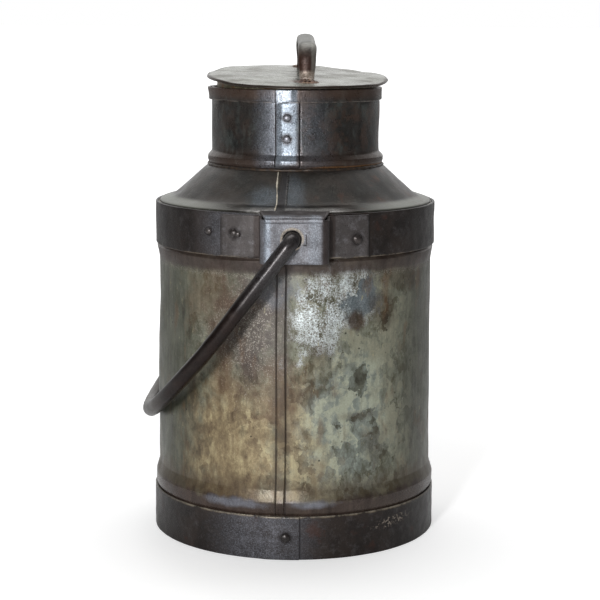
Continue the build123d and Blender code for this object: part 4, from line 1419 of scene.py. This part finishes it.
def lid_wave(x, y):
    """How far the dented plate stands above its true face."""
    reach = np.hypot(x, y)
    broad = 0.5 * wobble(x, y, 0 * x, 80, 81) + 0.22 * wobble(x, y, 0 * x, 26, 82)
    rim = 0.28 * wobble(x, y, 0 * x, 46, 83) * ease(reach, 52, LID_R) + 0.6 * ease(-y, 10, LID_R)
    dish = -0.6 * hump(x, 40, 22) * hump(y, -30, 18) - 0.5 * hump(x, -44, 20) * hump(y, 12, 22)
    near_toes = np.minimum(*[np.hypot(x - HANDLE_X, (y - toe) * 0.8) for toe in HANDLE_TOES])
    return (broad + dish) * ease(near_toes, 10, 26) * 0.8 + rim


def make_lid_plate():
    """The thin dented disc."""
    top = [(LID_R, -1.3), (LID_R - 0.8, 0), (LID_R * 0.78, 0.72), (LID_R * 0.3, 1.2), (0.02, 1.2)]
    section = sheet_loop(top, [0.5, 20.0, 40.0], 1.0, 2.4)

    def shape(az, r, z, outer):
        x, y = plan(az, r)
        grow = 1 + 0.003 * wobble(x, y, 0 * x, 60, 84) * ease(r, 50, LID_R)
        return r * grow, z + lid_wave(x, y) * ease(r, 0.5, 8)

    plate = moved(lathe(section, azimuths(300), shape), lid_matrix())
    place(add_mesh("lid_plate_skin", plate), "lid", "lid_tin", "lid_plate")


def make_lid_plug():
    """The skirt under the plate, with its lap at the back, and the solder that joins the two."""
    outside = [(PLUG_R, -PLUG_DEPTH), (PLUG_R, -2.2), (PLUG_R - 8, -2.0)]
    section = sheet_loop(outside, [1.6], 1.0, 1.6)

    def shape(az, r, z, outer):
        lap = outer * 0.7 * ease(az, 150, 151) * (1 - ease(az, 160, 168)) * ease(-z, 1, 3)
        return r + 0.18 * wobble(*plan(az, r), z, 34, 85) * ease(-z, 2, 6) + lap, z

    skirt = moved(lathe(section, azimuths(300, (150.5,)), shape), lid_matrix())
    place(add_mesh("lid_plug_skirt", skirt), "lid", "lid_tin", "lid_plug", PLUG_TIN)
    bead = moved(bead_ring(PLUG_R - 0.1, PLUG_R + 1.1, -2.9, -1.7, 0.2, 86), lid_matrix())
    place(add_mesh("lid_bead", bead), "lid", "solder", "lid_solder")


def handle_matrix():
    """Where the handle stands on the lid: a little right of its middle, and turned a little."""
    yaw = Matrix.Rotation(math.radians(HANDLE_YAW), 4, "Z")
    return lid_matrix() @ Matrix.Translation((HANDLE_X, 0, 0)) @ yaw


def make_lid_handle():
    """The strap: half-round with a hollow back, arched between its two flattened toes."""
    base = 1.0
    front, rear = HANDLE_TOES
    line = bent([
        (front, base), (front + HANDLE_TOE, base), (front + HANDLE_TOE + HANDLE_RAKE, HANDLE_RISE),
        (rear - HANDLE_TOE - HANDLE_RAKE, HANDLE_RISE), (rear - HANDLE_TOE, base), (rear, base),
    ], [8.0, 14.0, 14.0, 8.0], 1.0)
    centres = np.column_stack([np.zeros(len(line)), line])
    away = from_ends(line)
    half = HANDLE_WIDTH / 2 * (0.82 + 0.18 * ease(away, 10, 34)) * (0.8 + 0.2 * ease(away, -1, 4))
    half *= 1 + 0.02 * wobble(0 * line[:, 0], line[:, 0], line[:, 1], 17, 91)
    arched = ease(away, 2, 15)
    toe_crown = 1.9
    crown = toe_crown + (HANDLE_CROWN - toe_crown) * arched
    hollow = (HANDLE_CROWN - HANDLE_SHEET) * arched
    t = np.linspace(0, math.pi, 21)
    lip = 1 - 2 * HANDLE_SHEET / HANDLE_WIDTH
    outer = np.stack([-half[:, None] * np.cos(t), crown[:, None] * np.sin(t) ** 0.85], -1)
    inner = np.stack([lip * half[:, None] * np.cos(t), hollow[:, None] * np.sin(t) + 0.02], -1)
    section = np.concatenate([outer, inner], 1)
    strap = moved(sweep(centres, np.array([-1.0, 0.0, 0.0]), section), handle_matrix())
    place(add_mesh("lid_handle_strap", strap), "lid", "handle_iron", "lid_handle")


def make_braze():
    """A lumpy mound of braze round each toe."""
    top = 1.9
    mound = [(r, top * (1 - (r / 9.5) ** 2) + 0.3) for r in np.linspace(1, 9.3, 12)]
    parts = []
    for k, (toe, inward) in enumerate(zip(HANDLE_TOES, (1, -1))):
        points, faces = knob([(0, top), *mound, (9.6, -0.2), (0, -0.2)], 64)
        x, y = points[:, 0], points[:, 1]
        spread = 1 + 0.07 * wobble(x / 2, y / 2, 0 * x, 6, 94 + k)
        points[:, 0] *= 1.14 * spread
        points[:, 1] *= 0.92 * spread
        points[:, 2] *= 1 + 0.22 * wobble(x, y, 0 * x, 3.6, 96 + k)
        points += (0, toe + inward * 5, 0.9)
        parts.append(moved((points, faces), handle_matrix()))
    place(add_mesh("lid_braze_mounds", *parts), "lid", "braze", "lid_handle_braze")


make_body_shell()
make_base_band()
make_shoulder_band()
make_cone()
make_neck()
make_mouth_band()
make_floor_plate()
make_solder()
make_seam_runs()
make_rivets()
make_brackets()
make_bail()
make_washers()
make_lid_plate()
make_lid_plug()
make_lid_handle()
make_braze()


# The hidden CAD nodes have the materials of their slots too
for subpart in frame["record"]["subparts"]:
    dress(frame["nodes"][subpart["node"]], MATERIALS[subpart["material_slot"]])


# ---------------- studio


def add_floor():
    """A wide pale floor, white far from the can so that it meets the surround without a line.

    It glows for the camera far more than for the can, whose sides it would light from below.
    """
    half = 60.0
    mesh = bpy.data.meshes.new("floor")
    corners = [(-half, -half, 0), (half, -half, 0), (half, half, 0), (-half, half, 0)]
    mesh.from_pydata(corners, [], [(0, 1, 2, 3)])
    floor = bpy.data.objects.new("floor", mesh)
    bpy.context.scene.collection.objects.link(floor)
    material = bpy.data.materials.new("floor_white")
    material.use_nodes = True
    shader = material.node_tree.nodes["Principled BSDF"]
    looks = {"Base Color": (0.72, 0.72, 0.72, 1), "Roughness": 0.9, "Emission Color": (1, 1, 1, 1)}
    for key, value in looks.items():
        shader.inputs[key].default_value = value
    s = Nodes(material.node_tree)
    away = s.length(s.given(s.node("TexCoord"), "Object"))
    glow = s.seen(s.level(away, 0.15, 1.1, 0.46, 1.0), 0.07)
    s.feed(shader.inputs["Emission Strength"], glow)
    mesh.materials.append(material)


def add_light(name, place_at, target, size, power, tint=(1, 1, 1)):
    """A soft rectangular light aimed at a point, in metres and watts."""
    data = bpy.data.lights.new(name, "AREA")
    data.shape = "RECTANGLE"
    data.size, data.size_y = size
    data.energy = power
    data.color = tint
    light = bpy.data.objects.new(name, data)
    light.location = place_at
    light.rotation_euler = (Vector(target) - Vector(place_at)).to_track_quat("-Z", "Y").to_euler()
    bpy.context.scene.collection.objects.link(light)


def add_world():
    """A surround that is white to the camera, and lights the can from behind more than in front."""
    world = bpy.data.worlds.new("studio")
    bpy.context.scene.world = world
    world.use_nodes = True
    shader = world.node_tree.nodes["Background"]
    shader.inputs["Color"].default_value = (1, 1, 1, 1)
    s = Nodes(world.node_tree)
    split = s.node("SeparateXYZ", s.given(s.node("TexCoord"), "Generated"))
    behind = s.given(split, "Z") * 0.7 + s.given(split, "Y")
    s.feed(shader.inputs["Strength"], s.seen(1.0, s.level(behind, 0.60, 0.95, 0.05, 0.98)))


def add_camera():
    """The viewpoint: in front, a little right of the axis, looking slightly down."""
    data = bpy.data.cameras.new("camera")
    data.sensor_width = 36.0
    data.lens = 104.28
    camera = bpy.data.objects.new("camera", data)
    camera.location = Vector((4.6, -1497.3, 442.4)) * MM
    pitch = Matrix.Rotation(math.radians(80.68), 3, "X")
    camera.rotation_euler = (pitch @ Matrix.Rotation(math.radians(0.3), 3, "Z")).to_euler()
    bpy.context.scene.collection.objects.link(camera)
    bpy.context.scene.camera = camera


add_floor()
add_world()
add_light("key", (-0.38, -1.5, 0.58), (0, 0, 0.22), (0.15, 0.15), 14)
add_light("front", (-0.44, -1.6, 0.50), (0, 0, 0.22), (0.14, 0.66), 4.2, (0.93, 0.97, 1.0))
add_light("top", (0.0, 0.3, 1.6), (0, 0, 0.3), (1.0, 1.0), 8)
add_camera()
bpy.context.scene.view_settings.view_transform = "Standard"
